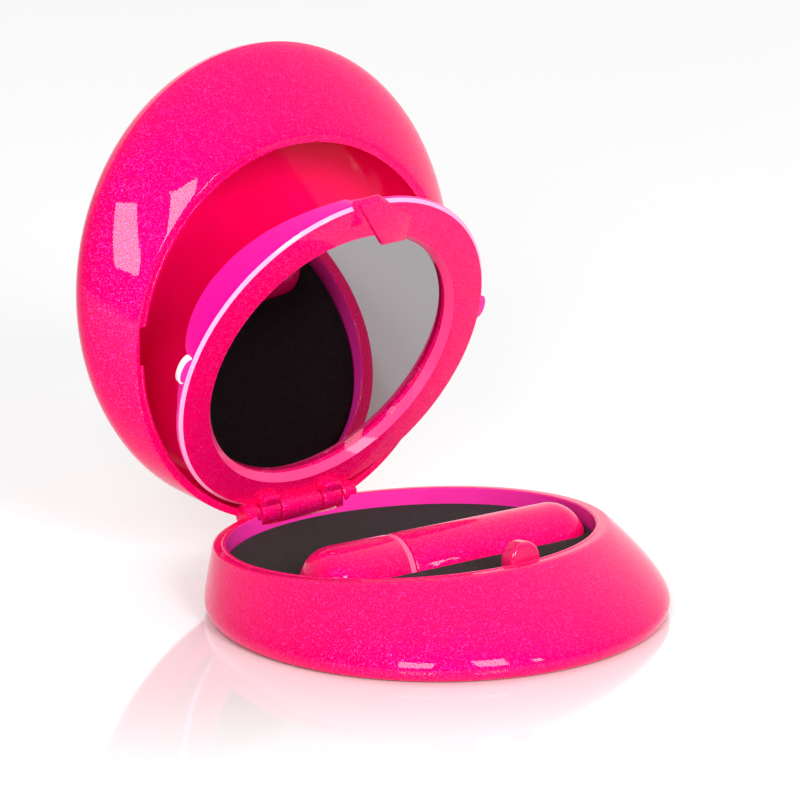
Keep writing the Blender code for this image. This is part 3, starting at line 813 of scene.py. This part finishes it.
@dataclass
class Dish:
    """The base: flared shell, liner, knuckles and catch tongue."""

    rims: Rims
    hinge: Hinge
    finishes: Finishes
    rim_radius: float = 35.0
    mouth_radius: float = 32.8
    wide_radius: float = 41.0
    wide_y: float = 0.7
    wide_z: float = 2.2
    rest_radius: float = 39.8
    seat_radius: float = 37.6
    seat_top: float = 1.45
    lip_width: float = 0.5
    lip_rise: float = 0.1
    sides: int = 160
    tongue_half: float = 3.3
    tongue_rise: float = 3.1
    tongue_drop: float = 2.4
    tongue_span: tuple[float, float] = (61.9, 65.3)
    tongue_round: float = 3.2
    liner_drop: float = 3.6
    hinge_room: float = 2.5
    hinge_play: float = 0.15

    def wall(self, share: float) -> Ring:
        """A ring of the outside wall, from the rim (0) to the widest level (1)."""
        spread = self.rims.flare(share)
        return Ring(
            self.rim_radius + (self.wide_radius - self.rim_radius) * spread,
            self.rims.centre_y + (self.wide_y - self.rims.centre_y) * spread,
            self.rims.centre_z - self.rims.gap + (self.wide_z - self.rims.centre_z + self.rims.gap) * share,
            self.rims.tilt * (1.0 - share),
        )

    def section(self) -> list[Ring]:
        """The shell's section: up the outside, over the rim, down the liner and back along the underside."""
        edge = []
        for step in range(1, 9):
            turn = math.radians(90.0 * step / 8)
            radius = self.wide_radius - (self.wide_radius - self.rest_radius) * (1.0 - math.cos(turn))
            edge.append(Ring(radius, self.wide_y, self.wide_z * (1.0 - math.sin(turn))))
        outside = [self.wall(step / 16) for step in range(1, 17)]
        lip = self.mouth_radius + self.lip_width
        level = -self.rims.gap
        rim = [
            self.rims.ring(self.mouth_radius, -4.0),
            self.rims.ring(self.mouth_radius, level + self.lip_rise, 0.22),
            self.rims.ring(lip, level + self.lip_rise, 0.1),
            self.rims.ring(lip + 0.12, level - 0.05, 0.05),
            self.rims.ring(self.rim_radius, level - 0.05, 0.55),
        ]
        under = [
            Ring(self.seat_radius, self.wide_y, 0.0, soft=0.2),
            Ring(self.seat_radius, self.wide_y, self.seat_top),
            Ring(self.mouth_radius, self.rims.centre_y, self.seat_top),
        ]
        return round_over(rim + outside + edge + under, closed=True, steps=5)

    def shell(self) -> None:
        """The dish wall with its hinge knuckles."""
        piece = turned("dish_shell", self.section(), self.sides, closed=True)
        self.clear_hinge(piece)
        dress(piece, self.finishes.pearl, "base", ("base_shell",), 28.0)
        for side in Side:
            ends = sorted(side.value * end for end in self.hinge.base_span)
            knuckle = self.hinge.knuckle_piece(f"dish_knuckle_{side.name.lower()}", *ends)
            place(knuckle, Matrix.Translation(self.hinge.pin))
            dress(knuckle, self.finishes.pearl, "base")

    def clear_hinge(self, piece: bpy.types.Object) -> None:
        """Cut room for the knuckles of the lid and the mirror frame."""
        pin = self.hinge.pin / MM
        inner = self.hinge.base_span[0] - self.hinge_play
        combine(piece, rod("room", self.hinge_room, -inner, inner, pin.y, pin.z))

    def liner(self) -> None:
        """Thin smooth sleeve inside the mouth, in the plain inside colour."""
        outer, inner = self.mouth_radius - 0.02, self.mouth_radius - 0.14
        rings = [
            self.rims.ring(outer, -self.rims.gap + 0.02, 0.05),
            self.rims.ring(outer, -self.liner_drop),
            self.rims.ring(inner, -self.liner_drop),
            self.rims.ring(inner, -self.rims.gap - 0.06, 0.05),
        ]
        piece = turned("dish_liner", round_over(rings, closed=True), self.sides, closed=True)
        self.clear_hinge(piece)
        dress(piece, self.finishes.inside, "base")

    def tongue(self) -> None:
        """Rounded catch tongue on the inside of the front rim."""
        near, far = (span - self.rims.pin_back for span in self.tongue_span)
        half = self.tongue_half
        piece = block("catch_tongue", (-half, -far, -self.tongue_drop), (half, -near, self.tongue_rise))
        top = {edge.index for edge in piece.data.edges if self.lies_on_top(piece, edge)}
        with editing(piece):
            bpy.ops.mesh.select_mode(type="EDGE")
            bpy.ops.mesh.select_all(action="DESELECT")
            mesh = bmesh.from_edit_mesh(piece.data)
            mesh.edges.ensure_lookup_table()
            for index in top:
                mesh.edges[index].select = True
            bmesh.update_edit_mesh(piece.data)
            bpy.ops.mesh.bevel(offset=self.tongue_round * MM, segments=12, affect="EDGES", profile=0.5)
        soften(piece, 0.8, 6, 60.0)
        tilt = Matrix.Rotation(-self.rims.tilt, 4, "X")
        centre = Vector((0.0, self.rims.centre_y * MM, self.rims.centre_z * MM))
        place(piece, Matrix.Translation(centre) @ tilt)
        dress(piece, self.finishes.tongue, "base", ("latch_tongue",))

    @staticmethod
    def lies_on_top(piece: bpy.types.Object, edge: bpy.types.MeshEdge) -> bool:
        """Whether an edge of the tongue is one of the two top edges that run front to back."""
        ends = [piece.data.vertices[index].co for index in edge.vertices]
        return all(end.z > 0.0 for end in ends) and abs(ends[0].x - ends[1].x) < 1e-6

    def make(self) -> None:
        """Build the whole dish."""
        self.shell()
        self.liner()
        self.tongue()


@dataclass
class Lid:
    """The domed lid, modelled shut with the pin at its origin."""

    rims: Rims
    hinge: Hinge
    finishes: Finishes
    rim_radius: float = 35.4
    mouth_radius: float = 33.7
    wide_radius: float = 41.0
    wide_forward: float = 7.7
    wide_height: float = 8.6
    dome_height: float = 11.45
    dome_power: float = 0.9
    stretch: float = 1.03
    wall_thickness: float = 1.7
    dome_thickness: float = 2.0
    notch_half: float = 12.8
    notch_height: float = 2.6
    notch_reach: float = 6.0
    frame_room: float = 33.4
    frame_top: float = 5.3
    block_half: float = 5.2
    block_span: tuple[float, float] = (58.0, 66.65)
    block_top: float = 4.9
    nub_room: tuple[float, float] = (30.0, 34.6)
    nub_span: tuple[float, float] = (32.2, 39.2)
    lip_width: float = 0.5
    lip_step: float = 0.12
    sides: int = 192

    def wall(self, share: float, inset: float) -> Ring:
        """A ring of the lid's wall, from its rim (0) to its widest level (1)."""
        spread = self.rims.flare(share)
        return Ring(
            self.rim_radius + (self.wide_radius - self.rim_radius) * spread - inset,
            -self.rims.pin_back - self.wide_forward * spread,
            self.rims.gap + (self.wide_height - self.rims.gap) * share,
            self.rims.tilt * share,
            1.0 + (self.stretch - 1.0) * spread,
        )

    def dome(self, turn: float, inset: float) -> Ring:
        """A ring of the dome above the widest level, at an angle from it."""
        rise = (self.dome_height - inset) * math.sin(turn) ** self.dome_power
        return Ring(
            (self.wide_radius - inset) * math.cos(turn) ** self.dome_power,
            -self.rims.pin_back - self.wide_forward + rise * math.sin(self.rims.tilt),
            self.wide_height + rise * math.cos(self.rims.tilt),
            self.rims.tilt,
            self.stretch,
        )

    def section(self) -> list[Ring]:
        """From the middle of the ceiling out, down the inside, round the rim and up the outside."""
        turns = [math.radians(degrees) for degrees in (5, 11, 18, 25, 32, 39, 46, 53, 60, 67, 74, 80, 85, 88.5)]
        thick, thin = self.dome_thickness, self.wall_thickness
        rings = [self.dome(turn, thick) for turn in reversed(turns)]
        for part in range(16, 1, -1):
            share = part / 16
            rings.append(self.wall(share, thin + (thick - thin) * share))
        middle, low = -self.rims.pin_back, self.rims.gap
        lip, step = self.mouth_radius + self.lip_width, self.lip_step
        rings += [
            Ring(self.mouth_radius, middle, low, soft=0.22),
            Ring(lip, middle, low, soft=0.1),
            Ring(lip + step, middle, low + step, soft=0.05),
            Ring(self.rim_radius, middle, low + step, soft=0.5),
        ]
        rings += [self.wall(part / 16, 0.0) for part in range(2, 17)]
        rings += [self.dome(turn, 0.0) for turn in turns]
        return round_over(rings, steps=5)

    def cut_rooms(self, piece: bpy.types.Object) -> None:
        """Cut room for the hinge, the mirror frame, its catch block and its nubs."""
        notch, reach = self.notch_half, self.notch_reach
        combine(piece, block("room", (-notch, -reach, -3.0), (notch, reach, self.notch_height)))
        middle = -self.rims.frame_back
        circles = [Ring(self.frame_room, middle, -1.0), Ring(self.frame_room, middle, self.frame_top)]
        room = turned("room", circles, 128)
        combine(room, block("flat", (-20.0, 0.0, -5.0), (20.0, 5.0, 10.0)))
        combine(piece, room)
        side, (near, far) = self.block_half, self.block_span
        combine(piece, block("room", (-side, -far, -1.0), (side, -near, self.block_top)))
        near, far = self.nub_span
        for each in Side:
            ends = sorted(each.value * end for end in self.nub_room)
            combine(piece, block("room", (ends[0], -far, -1.0), (ends[1], -near, self.notch_height)))

    def add(self, piece: bpy.types.Object, nodes: tuple[str, ...] = (), angle: float = 32.0) -> None:
        """Open a piece with the lid and give it the shell's finish."""
        place(piece, self.hinge.lid_turn)
        dress(piece, self.finishes.pearl, "lid", nodes, angle)

    def make(self) -> None:
        """Build the lid, lined inside, with its web and knuckle."""
        piece = turned("lid_dome", self.section(), self.sides)
        self.cut_rooms(piece)
        self.add(piece, ("lid_shell",), 28.0)
        heart = self.hinge.lid_turn @ (Vector((0.0, -self.rims.pin_back - 4.0, 5.0)) * MM)
        inner = [face.index for face in piece.data.polygons if face.normal.dot(face.center - heart) < 0.0]
        second_finish(piece, self.finishes.lining, inner)
        half = self.hinge.lid_half
        self.add(block("lid_web", (-half, 0.4, 0.3), (half, 1.9, 4.1), 0.25))
        self.add(self.hinge.knuckle_piece("lid_knuckle", -half, half))


@dataclass
class Capsule:
    """The capsule, modelled along X with its middle at the origin."""

    frame: dict
    finishes: Finishes
    radius: float = 6.9
    length: float = 57.0
    end_round: float = 6.1
    wall: float = 1.0
    seam: float = -10.4
    seal_half: float = 0.5
    seal_inner: float = 5.8
    gap: float = 0.3
    button_radius: float = 3.0
    button_height: float = 1.6
    stem_radius: float = 1.1
    stem_start: float = 21.9
    sides: int = 96
    turn: Matrix = field(init=False)

    def __post_init__(self) -> None:
        """Read the capsule's place and direction from the joint that its cap turns on."""
        for joint in self.frame["joints"]:
            if joint["name"] == "cap_twist":
                axis = Vector(joint["axis"])
                about = Matrix.Rotation(math.atan2(axis.y, axis.x), 4, "Z")
                self.turn = Matrix.Translation(Vector(joint["pos_m"])) @ about

    def side(self, inset: float, steps: int = 12) -> list[tuple[float, float]]:
        """Places along X and radii of the right half's outline, from the middle of its length to its end."""
        bend = self.end_round - inset
        made = []
        for step in range(steps + 1):
            turn = math.radians(90.0 * (1.0 - step / steps))
            x = self.length / 2.0 - inset - bend * (1.0 - math.cos(turn))
            made.append((x, self.radius - inset - bend * (1.0 - math.sin(turn))))
        return made

    def lathe(self, name: str, outline: list[tuple[float, float]], closed: bool) -> bpy.types.Object:
        """Turn an outline of places and radii about X."""
        piece = turned(name, [Ring(radius, 0.0, x) for x, radius in outline], self.sides, closed)
        piece.data.transform(Matrix.Rotation(math.pi / 2.0, 4, "Y"))
        place(piece, self.turn)
        return piece

    def hollow(self, clearance: float) -> bpy.types.Object:
        """A closed body that is larger than the capsule by a clearance, to cut its room from another piece."""
        outline = self.side(-clearance)
        return self.lathe("hollow", [(-x, radius) for x, radius in reversed(outline)] + outline, False)

    def body(self) -> None:
        """Long half, open at the seam and bored for the button."""
        start = self.seam + self.seal_half + self.gap / 2.0
        bore = self.button_radius + 0.2
        outer = [(start, self.radius - 0.35), (start + 0.12, self.radius - 0.1), (start + 0.4, self.radius)]
        outer += [pair for pair in self.side(0.0, 16) if pair[1] > bore] + [(self.end_at(bore), bore)]
        inner = [pair for pair in self.side(self.wall) if pair[1] > bore]
        outline = outer + [(self.end_at(bore) - self.wall, bore)] + inner[::-1] + [(start, self.radius - self.wall)]
        piece = self.lathe("capsule_long_half", outline, True)
        dress(piece, self.finishes.pearl, "capsule", ("capsule_body",), 28.0)

    def end_at(self, radius: float) -> float:
        """Where the rounded end has that radius."""
        lift = 1.0 - (self.radius - radius) / self.end_round
        return self.length / 2.0 - self.end_round * (1.0 - math.sqrt(1.0 - lift * lift))

    def cap(self) -> None:
        """Short closed half."""
        end = self.seam - self.seal_half - self.gap / 2.0
        outer = [(-x, radius) for x, radius in reversed(self.side(0.0, 16))]
        outer += [(end - 0.4, self.radius), (end - 0.12, self.radius - 0.1), (end, self.radius - 0.35)]
        inner = [(end, self.radius - self.wall)] + [(-x, radius) for x, radius in self.side(self.wall)]
        piece = self.lathe("capsule_end_cap", outer + inner, False)
        dress(piece, self.finishes.pearl, "cap", ("capsule_cap",), 28.0)

    def seal(self) -> None:
        """Pale ring between the halves, slightly below the surface."""
        start, end = self.seam - self.seal_half, self.seam + self.seal_half
        top = self.radius - 0.12
        inner, low, ease = self.seal_inner, top - 0.1, 0.12
        outline = [(start, inner), (start, low), (start + ease, top), (end - ease, top), (end, low), (end, inner)]
        piece = self.lathe("capsule_seam_ring", outline, True)
        dress(piece, self.finishes.seal, "capsule", ("seal_ring",))

    def button(self) -> None:
        """Round button in the right end, domed with the capsule, and its stem."""
        radius = self.button_radius
        edge = self.end_at(radius)
        back = edge - self.button_height
        stem = self.stem_radius
        outline = [(self.stem_start, stem), (back, stem), (back, radius), (edge - 0.15, radius)]
        outline += [(self.end_at(share * radius), share * radius) for share in (0.95, 0.8, 0.6, 0.4, 0.2)]
        piece = self.lathe("capsule_button", outline, False)
        dress(piece, self.finishes.inside, "button", ("power_button",))

    def make(self) -> None:
        """Build the capsule's outside."""
        self.body()
        self.cap()
        self.seal()
        self.button()


@dataclass
class MirrorFrame:
    """The ring round the mirror with its skirt, arms, catch and nubs, modelled shut with the pin at its origin."""

    rims: Rims
    hinge: Hinge
    finishes: Finishes
    radius: float = 33.0
    window: float = 25.4
    window_forward: float = 31.4
    flange: float = 1.15
    core_radius: float = 29.6
    glass_radius: float = 27.0
    face: float = 0.8
    lip: float = 2.25
    back: float = 4.9
    glass: float = 1.1
    chamfer: float = 0.65
    window_chamfer: float = 1.4
    window_slope: float = 1.1
    skirt_radius: float = 32.6
    skirt_wall: float = 1.1
    skirt_peak: float = 5.3
    skirt_free_end: float = 2.1
    skirt_start_left: float = math.radians(7)
    skirt_start_right: float = math.radians(46)
    skirt_peak_angle: float = math.radians(55)
    skirt_end_angle: float = math.radians(82)
    flat: float = 0.9
    block_raise: float = 0.6
    nub_angle: float = math.radians(84.5)
    nub_radius: float = 2.8
    nub_reach: float = 34.5
    nub_span: tuple[float, float] = (1.5, 2.8)
    sides: int = 192

    def skirt_height(self, turn: float) -> float:
        """Height of the skirt's back edge above the flange, at an angle from the free end, right side positive."""
        away = abs(turn)
        start, low = (self.skirt_start_right, 0.03) if turn > 0.0 else (self.skirt_start_left, self.skirt_free_end)
        if away < start:
            return 0.03
        if away <= self.skirt_peak_angle:
            share = (away - start) / (self.skirt_peak_angle - start)
            return low + (self.skirt_peak - low) * math.sin(share * math.pi / 2.0) ** 1.5
        past = (away - self.skirt_peak_angle) / (self.skirt_end_angle - self.skirt_peak_angle)
        return self.skirt_peak * math.sqrt(max(1.0 - past ** 2.2, 0.0)) + 0.03

    def ring(self) -> None:
        """Ring and skirt in one, cut flat at the hinge."""
        middle = -self.rims.frame_back
        seat = self.glass_radius + 0.3
        top = self.back + 1.0
        hole = -self.window_forward
        step = self.face + self.flange
        section = [
            (self.window, hole, self.face + self.window_chamfer, 0.06),
            (self.window + self.window_slope, hole, self.face, 0.06),
            (self.radius - self.chamfer, middle, self.face, 0.05),
            (self.radius, middle, self.face + self.chamfer, 0.08),
            (self.radius, middle, step, 0.0),
            (self.skirt_radius, middle, top, 0.0),
            (self.skirt_radius - self.skirt_wall, middle, top, 0.0),
            (self.skirt_radius - self.skirt_wall, middle, step, 0.0),
            (self.core_radius, middle, step, 0.1),
            (self.core_radius, middle, self.back, 0.15),
            (seat, middle, self.back, 0.1),
            (seat, middle, self.face + self.lip, 0.0),
            (self.window, hole, self.face + self.lip, 0.0),
        ]
        rings = [Ring(radius, y, z, soft=soft) for radius, y, z, soft in section]
        piece = turned("mirror_ring", round_over(rings, closed=True, steps=3), self.sides, closed=True)
        for corner in piece.data.vertices:
            if abs(corner.co.z - top * MM) < 1e-6:
                turn = math.atan2(corner.co.x, -(corner.co.y - middle * MM))
                corner.co.z = (step + self.skirt_height(turn)) * MM
        with editing(piece):
            cut, out = (0.0, -self.flat * MM, 0.0), (0.0, 1.0, 0.0)
            bpy.ops.mesh.bisect(plane_co=cut, plane_no=out, clear_outer=True, use_fill=True)
        self.add(piece, ("mirror_frame",), 25.0)
        self.colour_bands(piece)

    def colour_bands(self, piece: bpy.types.Object) -> None:
        """Give the ring's chamfer its pale painted highlight, the window's bevel its paler pink painted highlight and
        the skirt a finish of its own.
        """
        middle = -self.rims.frame_back
        back = self.hinge.mirror_turn.inverted()
        edge, side, bevel = [], [], []
        for face in piece.data.polygons:
            spot, way = back @ face.center / MM, back.to_3x3() @ face.normal
            reach = math.hypot(spot.x, spot.y - middle)
            # Faces of the outer chamfer get the pale painted highlight.
            if self.face + 0.08 < spot.z < self.face + self.chamfer - 0.06 and reach > self.radius - self.chamfer:
                edge.append(face.index)
            elif spot.z > self.face + self.chamfer and reach > self.skirt_radius - 0.2 and abs(way.z) < 0.9:
                side.append(face.index)
            # Faces of the window's bevel get the paler painted highlight.
            elif 0.3 < -way.z < 0.95 and reach < self.window + self.window_slope + 1.5:
                bevel.append(face.index)
        second_finish(piece, self.finishes.edge, edge)
        second_finish(piece, self.finishes.skirt, side)
        second_finish(piece, self.finishes.bevel, bevel)

    def add(self, piece: bpy.types.Object, nodes: tuple[str, ...] = (), angle: float = 32.0) -> None:
        """Open a piece with the frame and give it the shell's finish."""
        place(piece, self.hinge.mirror_turn)
        dress(piece, self.finishes.pearl, "mirror", nodes, angle)

    def arms(self) -> None:
        """Two arms that run from the ring's hinge end to their knuckles."""
        for side in Side:
            ends = sorted(side.value * end for end in self.hinge.arm_span)
            label = side.name.lower()
            self.add(block(f"mirror_arm_{label}", (ends[0], -3.6, -1.0), (ends[1], -0.3, self.back - 0.9), 0.8, 5))
            self.add(self.hinge.knuckle_piece(f"mirror_knuckle_{label}", *ends))

    def slab(self, name: str, outline: list[tuple[float, float, float]], back: float) -> bpy.types.Object:
        """A slab with a many-cornered front face that may slope.

        Args:
            name: the piece's name.
            outline: the front corners, as place across, distance from the pin and height.
            back: height of its flat back.

        Returns:
            The piece.
        """
        deselect()
        bpy.ops.mesh.primitive_circle_add(vertices=len(outline), radius=1.0, fill_type="NGON")
        piece = bpy.context.active_object
        piece.name = name
        for corner, (across, forward, height) in zip(piece.data.vertices, outline):
            corner.co = Vector((across, -forward, height)) * MM
        with editing(piece):
            bpy.ops.mesh.extrude_region_move(TRANSFORM_OT_translate={"value": (0.0, 0.0, MM)})
        for corner in list(piece.data.vertices)[len(outline):]:
            corner.co.z = back * MM
        with editing(piece):
            bpy.ops.mesh.normals_make_consistent(inside=False)
        return piece

    def catch(self) -> None:
        """Raised catch block, and a sloping pad that runs from its corner to the window."""
        low = self.face - self.block_raise
        high = self.face - 0.2
        plate = [(-4.8, 66.1, high), (0.6, 66.5, high), (3.9, 64.2, high), (4.2, 60.8, high), (-4.4, 60.6, high)]
        piece = self.slab("catch_block", plate, self.face + 1.0)
        soften(piece, 0.5)
        self.add(piece, ("latch_block",))
        right = self.face - 0.02
        pad = [
            (-4.5, 65.9, low),
            (0.5, 66.3, low),
            (3.7, 64.0, low + 0.1),
            (9.6, 60.6, right),
            (9.6, 55.2, right),
            (3.8, 55.6, low),
        ]
        piece = self.slab("catch_pad", pad, self.face + 0.6)
        soften(piece, 0.3, angle=40.0)
        self.add(piece)

    def glass_pane(self) -> None:
        """The mirror, with a ground edge."""
        middle = -self.rims.frame_back
        low = self.face + self.lip + 0.01
        high = low + self.glass
        face = self.glass_radius - 0.6
        rings = [
            Ring(face, middle, low),
            Ring(self.glass_radius, middle, low, soft=0.15),
            Ring(self.glass_radius, middle, high, soft=0.15),
            Ring(face, middle, high),
        ]
        pane = turned("mirror_pane", round_over(rings), self.sides)
        place(pane, self.hinge.mirror_turn)
        dress(pane, self.finishes.mirror, "mirror", ("mirror_glass",))

    def nubs(self) -> None:
        """Half-round nubs on both sides: a pink core whose pale outside is a painted highlight on the curved edge."""
        middle = -self.rims.frame_back
        for side in Side:
            out = Vector((side.value * math.sin(self.nub_angle), -math.cos(self.nub_angle), 0.0))
            centre = Vector((0.0, middle, 0.0)) + out * (self.radius + 0.1)
            reach = self.nub_reach - self.radius - 0.1
            near, far = self.nub_span
            label = side.name.lower()
            for name, grow, low, high, finish, slot, nodes in (
                # The pale pad is painted: it stands in for the highlight round the nub's curved edge.
                ("nub_pad", 1.0, near + 0.12, far, self.finishes.nub, "white_silicone", (f"detent_nub_{label}",)),
                ("nub_core", 0.86, near, far - 0.12, self.finishes.inside, "magenta_plastic", ()),
            ):
                deselect()
                spot = (0.0, 0.0, (low + high) / 2.0 * MM)
                depth = (high - low) * MM
                bpy.ops.mesh.primitive_cylinder_add(vertices=64, radius=grow * MM, depth=depth, location=spot)
                piece = bpy.context.active_object
                piece.name = f"{name}_{label}"
                piece.scale = (reach, self.nub_radius, 1.0)
                settle(piece)
                soften(piece, 0.14)
                turn = Matrix.Rotation(math.atan2(out.y, out.x), 4, "Z")
                place(piece, self.hinge.mirror_turn @ Matrix.Translation(centre * MM) @ turn)
                dress(piece, finish, "mirror", nodes)

    def make(self) -> None:
        """Build the whole frame."""
        self.ring()
        self.arms()
        self.catch()
        self.glass_pane()
        self.nubs()


@dataclass
class FoamBed:
    """Foam block with the nest that the capsule lies in."""

    rims: Rims
    capsule: Capsule
    finishes: Finishes
    radius: float = 32.4
    drop: float = 2.8
    bottom: float = 1.45
    clearance: float = 0.3
    sides: int = 128

    def make(self) -> None:
        """Build the foam: a rounded top edge and a nest with soft edges."""
        middle = self.rims.centre_y
        rings = [Ring(self.radius, middle, self.bottom)]
        rings += [self.rims.ring(self.radius, -self.drop, 0.9)]
        shares = (0.94, 0.85, 0.7, 0.55, 0.4, 0.25, 0.1)
        rings += [self.rims.ring(self.radius * share, -self.drop) for share in shares]
        piece = turned("foam_bed", round_over(rings), self.sides)
        combine(piece, self.capsule.hollow(self.clearance))
        soften(piece, 0.35)
        dress(piece, self.finishes.foam, "base", ("foam_insert",), 40.0)


class Works:
    """Solids that keep their shape and get a better finish: pin, floor, cover and the capsule's insides."""

    def __init__(self, frame: dict, finishes: Finishes) -> None:
        """Keep the nodes and the finishes.

        Args:
            frame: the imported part.
            finishes: the finishes.
        """
        self.nodes = frame["nodes"]
        self.finishes = finishes

    def make(self) -> None:
        """Dress every node that is carried over."""
        cells = ("battery_cell_1", "battery_cell_2", "battery_cell_3")
        for finish, names in (
            (self.finishes.steel, ("hinge_pin", *cells, "contact_spring", "motor_can", "motor_shaft")),
            (self.finishes.brass, ("cap_contact", "body_contact", "eccentric_weight")),
            (self.finishes.board, ("switch_board",)),
            (self.finishes.dark, ("tact_switch", "motor_holder")),
            (self.finishes.inside, ("base_floor", "mirror_backing")),
        ):
            for name in names:
                data = self.nodes[name].data
                data.materials.clear()
                data.materials.append(finish)
                LOG.info("%s keeps its shape", name)


# ---------------------------------------------------------------------------------------------- the studio


@dataclass(frozen=True)
class Softbox:
    """A rectangular light that looks at a point."""

    name: str
    place: tuple[float, float, float]
    size: tuple[float, float]
    power: float
    target: tuple[float, float, float] = (0.0, 0.01, 0.03)

    def make(self) -> None:
        """Hang the light."""
        data = bpy.data.lights.new(self.name, "AREA")
        data.shape = "RECTANGLE"
        data.size, data.size_y = self.size
        data.energy = self.power
        lamp = bpy.data.objects.new(self.name, data)
        lamp.location = self.place
        lamp.rotation_euler = (Vector(self.target) - Vector(self.place)).to_track_quat("-Z", "Y").to_euler()
        bpy.context.scene.collection.objects.link(lamp)


@dataclass
class Studio:
    """Table, lights and camera, in metres."""

    finishes: Finishes
    eye: tuple[float, float, float] = (-0.7316, -0.90748, 0.39099)
    gaze: tuple[float, float, float] = (0.59625, 0.74874, -0.28961)
    lens: float = 314.32
    behind: tuple[float, float, float] = (0.50, 0.62, 0.60)
    dim: float = 0.12
    bright: float = 1.28
    dim_until: float = -0.1
    bright_from: float = 0.95
    table_size: float = 6.0
    softboxes: tuple[Softbox, ...] = (
        Softbox("window_left", (-0.70, -0.60, 0.46), (0.28, 0.38), 6.4),
        Softbox("window_right", (-0.17, -0.86, 0.49), (0.25, 0.40), 6.4),
        Softbox("slit", (0.20, -0.95, 0.40), (0.09, 0.22), 1.2),
    )

    def table(self) -> None:
        """Wide flat table top."""
        deselect()
        bpy.ops.mesh.primitive_plane_add(size=self.table_size, location=(0.0, 0.0, -0.0002))
        floor = bpy.context.active_object
        floor.name = "table_top"
        settle(floor)
        floor.data.materials.append(self.finishes.table)

    def sky(self) -> None:
        """Plain surroundings, bright behind the case and dim in front of it."""
        world = bpy.data.worlds.new("surroundings")
        world.use_nodes = True
        tree = world.node_tree
        place = tree.nodes.new("ShaderNodeTexCoord")
        facing = tree.nodes.new("ShaderNodeVectorMath")
        facing.operation = "DOT_PRODUCT"
        facing.inputs[1].default_value = Vector(self.behind).normalized()
        tree.links.new(place.outputs["Generated"], facing.inputs[0])
        level = tree.nodes.new("ShaderNodeMapRange")
        for name, value in (
            ("From Min", self.dim_until),
            ("From Max", self.bright_from),
            ("To Min", self.dim),
            ("To Max", self.bright),
        ):
            level.inputs[name].default_value = value
        tree.links.new(facing.outputs["Value"], level.inputs["Value"])
        tree.nodes["Background"].inputs["Color"].default_value = (1.0, 1.0, 1.0, 1.0)
        tree.links.new(level.outputs["Result"], tree.nodes["Background"].inputs["Strength"])
        bpy.context.scene.world = world

    def camera(self) -> None:
        """Camera at eye level with the open case."""
        data = bpy.data.cameras.new("camera")
        data.lens = self.lens
        data.sensor_width = 36.0
        data.clip_end = 20.0
        eye = bpy.data.objects.new("camera", data)
        eye.location = self.eye
        eye.rotation_euler = Vector(self.gaze).to_track_quat("-Z", "Y").to_euler()
        bpy.context.scene.collection.objects.link(eye)
        bpy.context.scene.camera = eye

    def make(self) -> None:
        """Set up the studio."""
        self.table()
        self.sky()
        for lamp in self.softboxes:
            lamp.make()
        self.camera()
        bpy.context.scene.view_settings.view_transform = "Standard"


def main() -> None:
    """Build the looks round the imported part."""
    logging.basicConfig(level=logging.INFO, format="%(name)s: %(message)s")
    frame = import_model()
    deselect()
    finishes = Finishes()
    rims = Rims()
    hinge = Hinge(frame, rims)
    Dish(rims, hinge, finishes).make()
    Lid(rims, hinge, finishes).make()
    capsule = Capsule(frame, finishes)
    capsule.make()
    MirrorFrame(rims, hinge, finishes).make()
    FoamBed(rims, capsule, finishes).make()
    Works(frame, finishes).make()
    Studio(finishes).make()


if __name__ == "__main__":
    main()
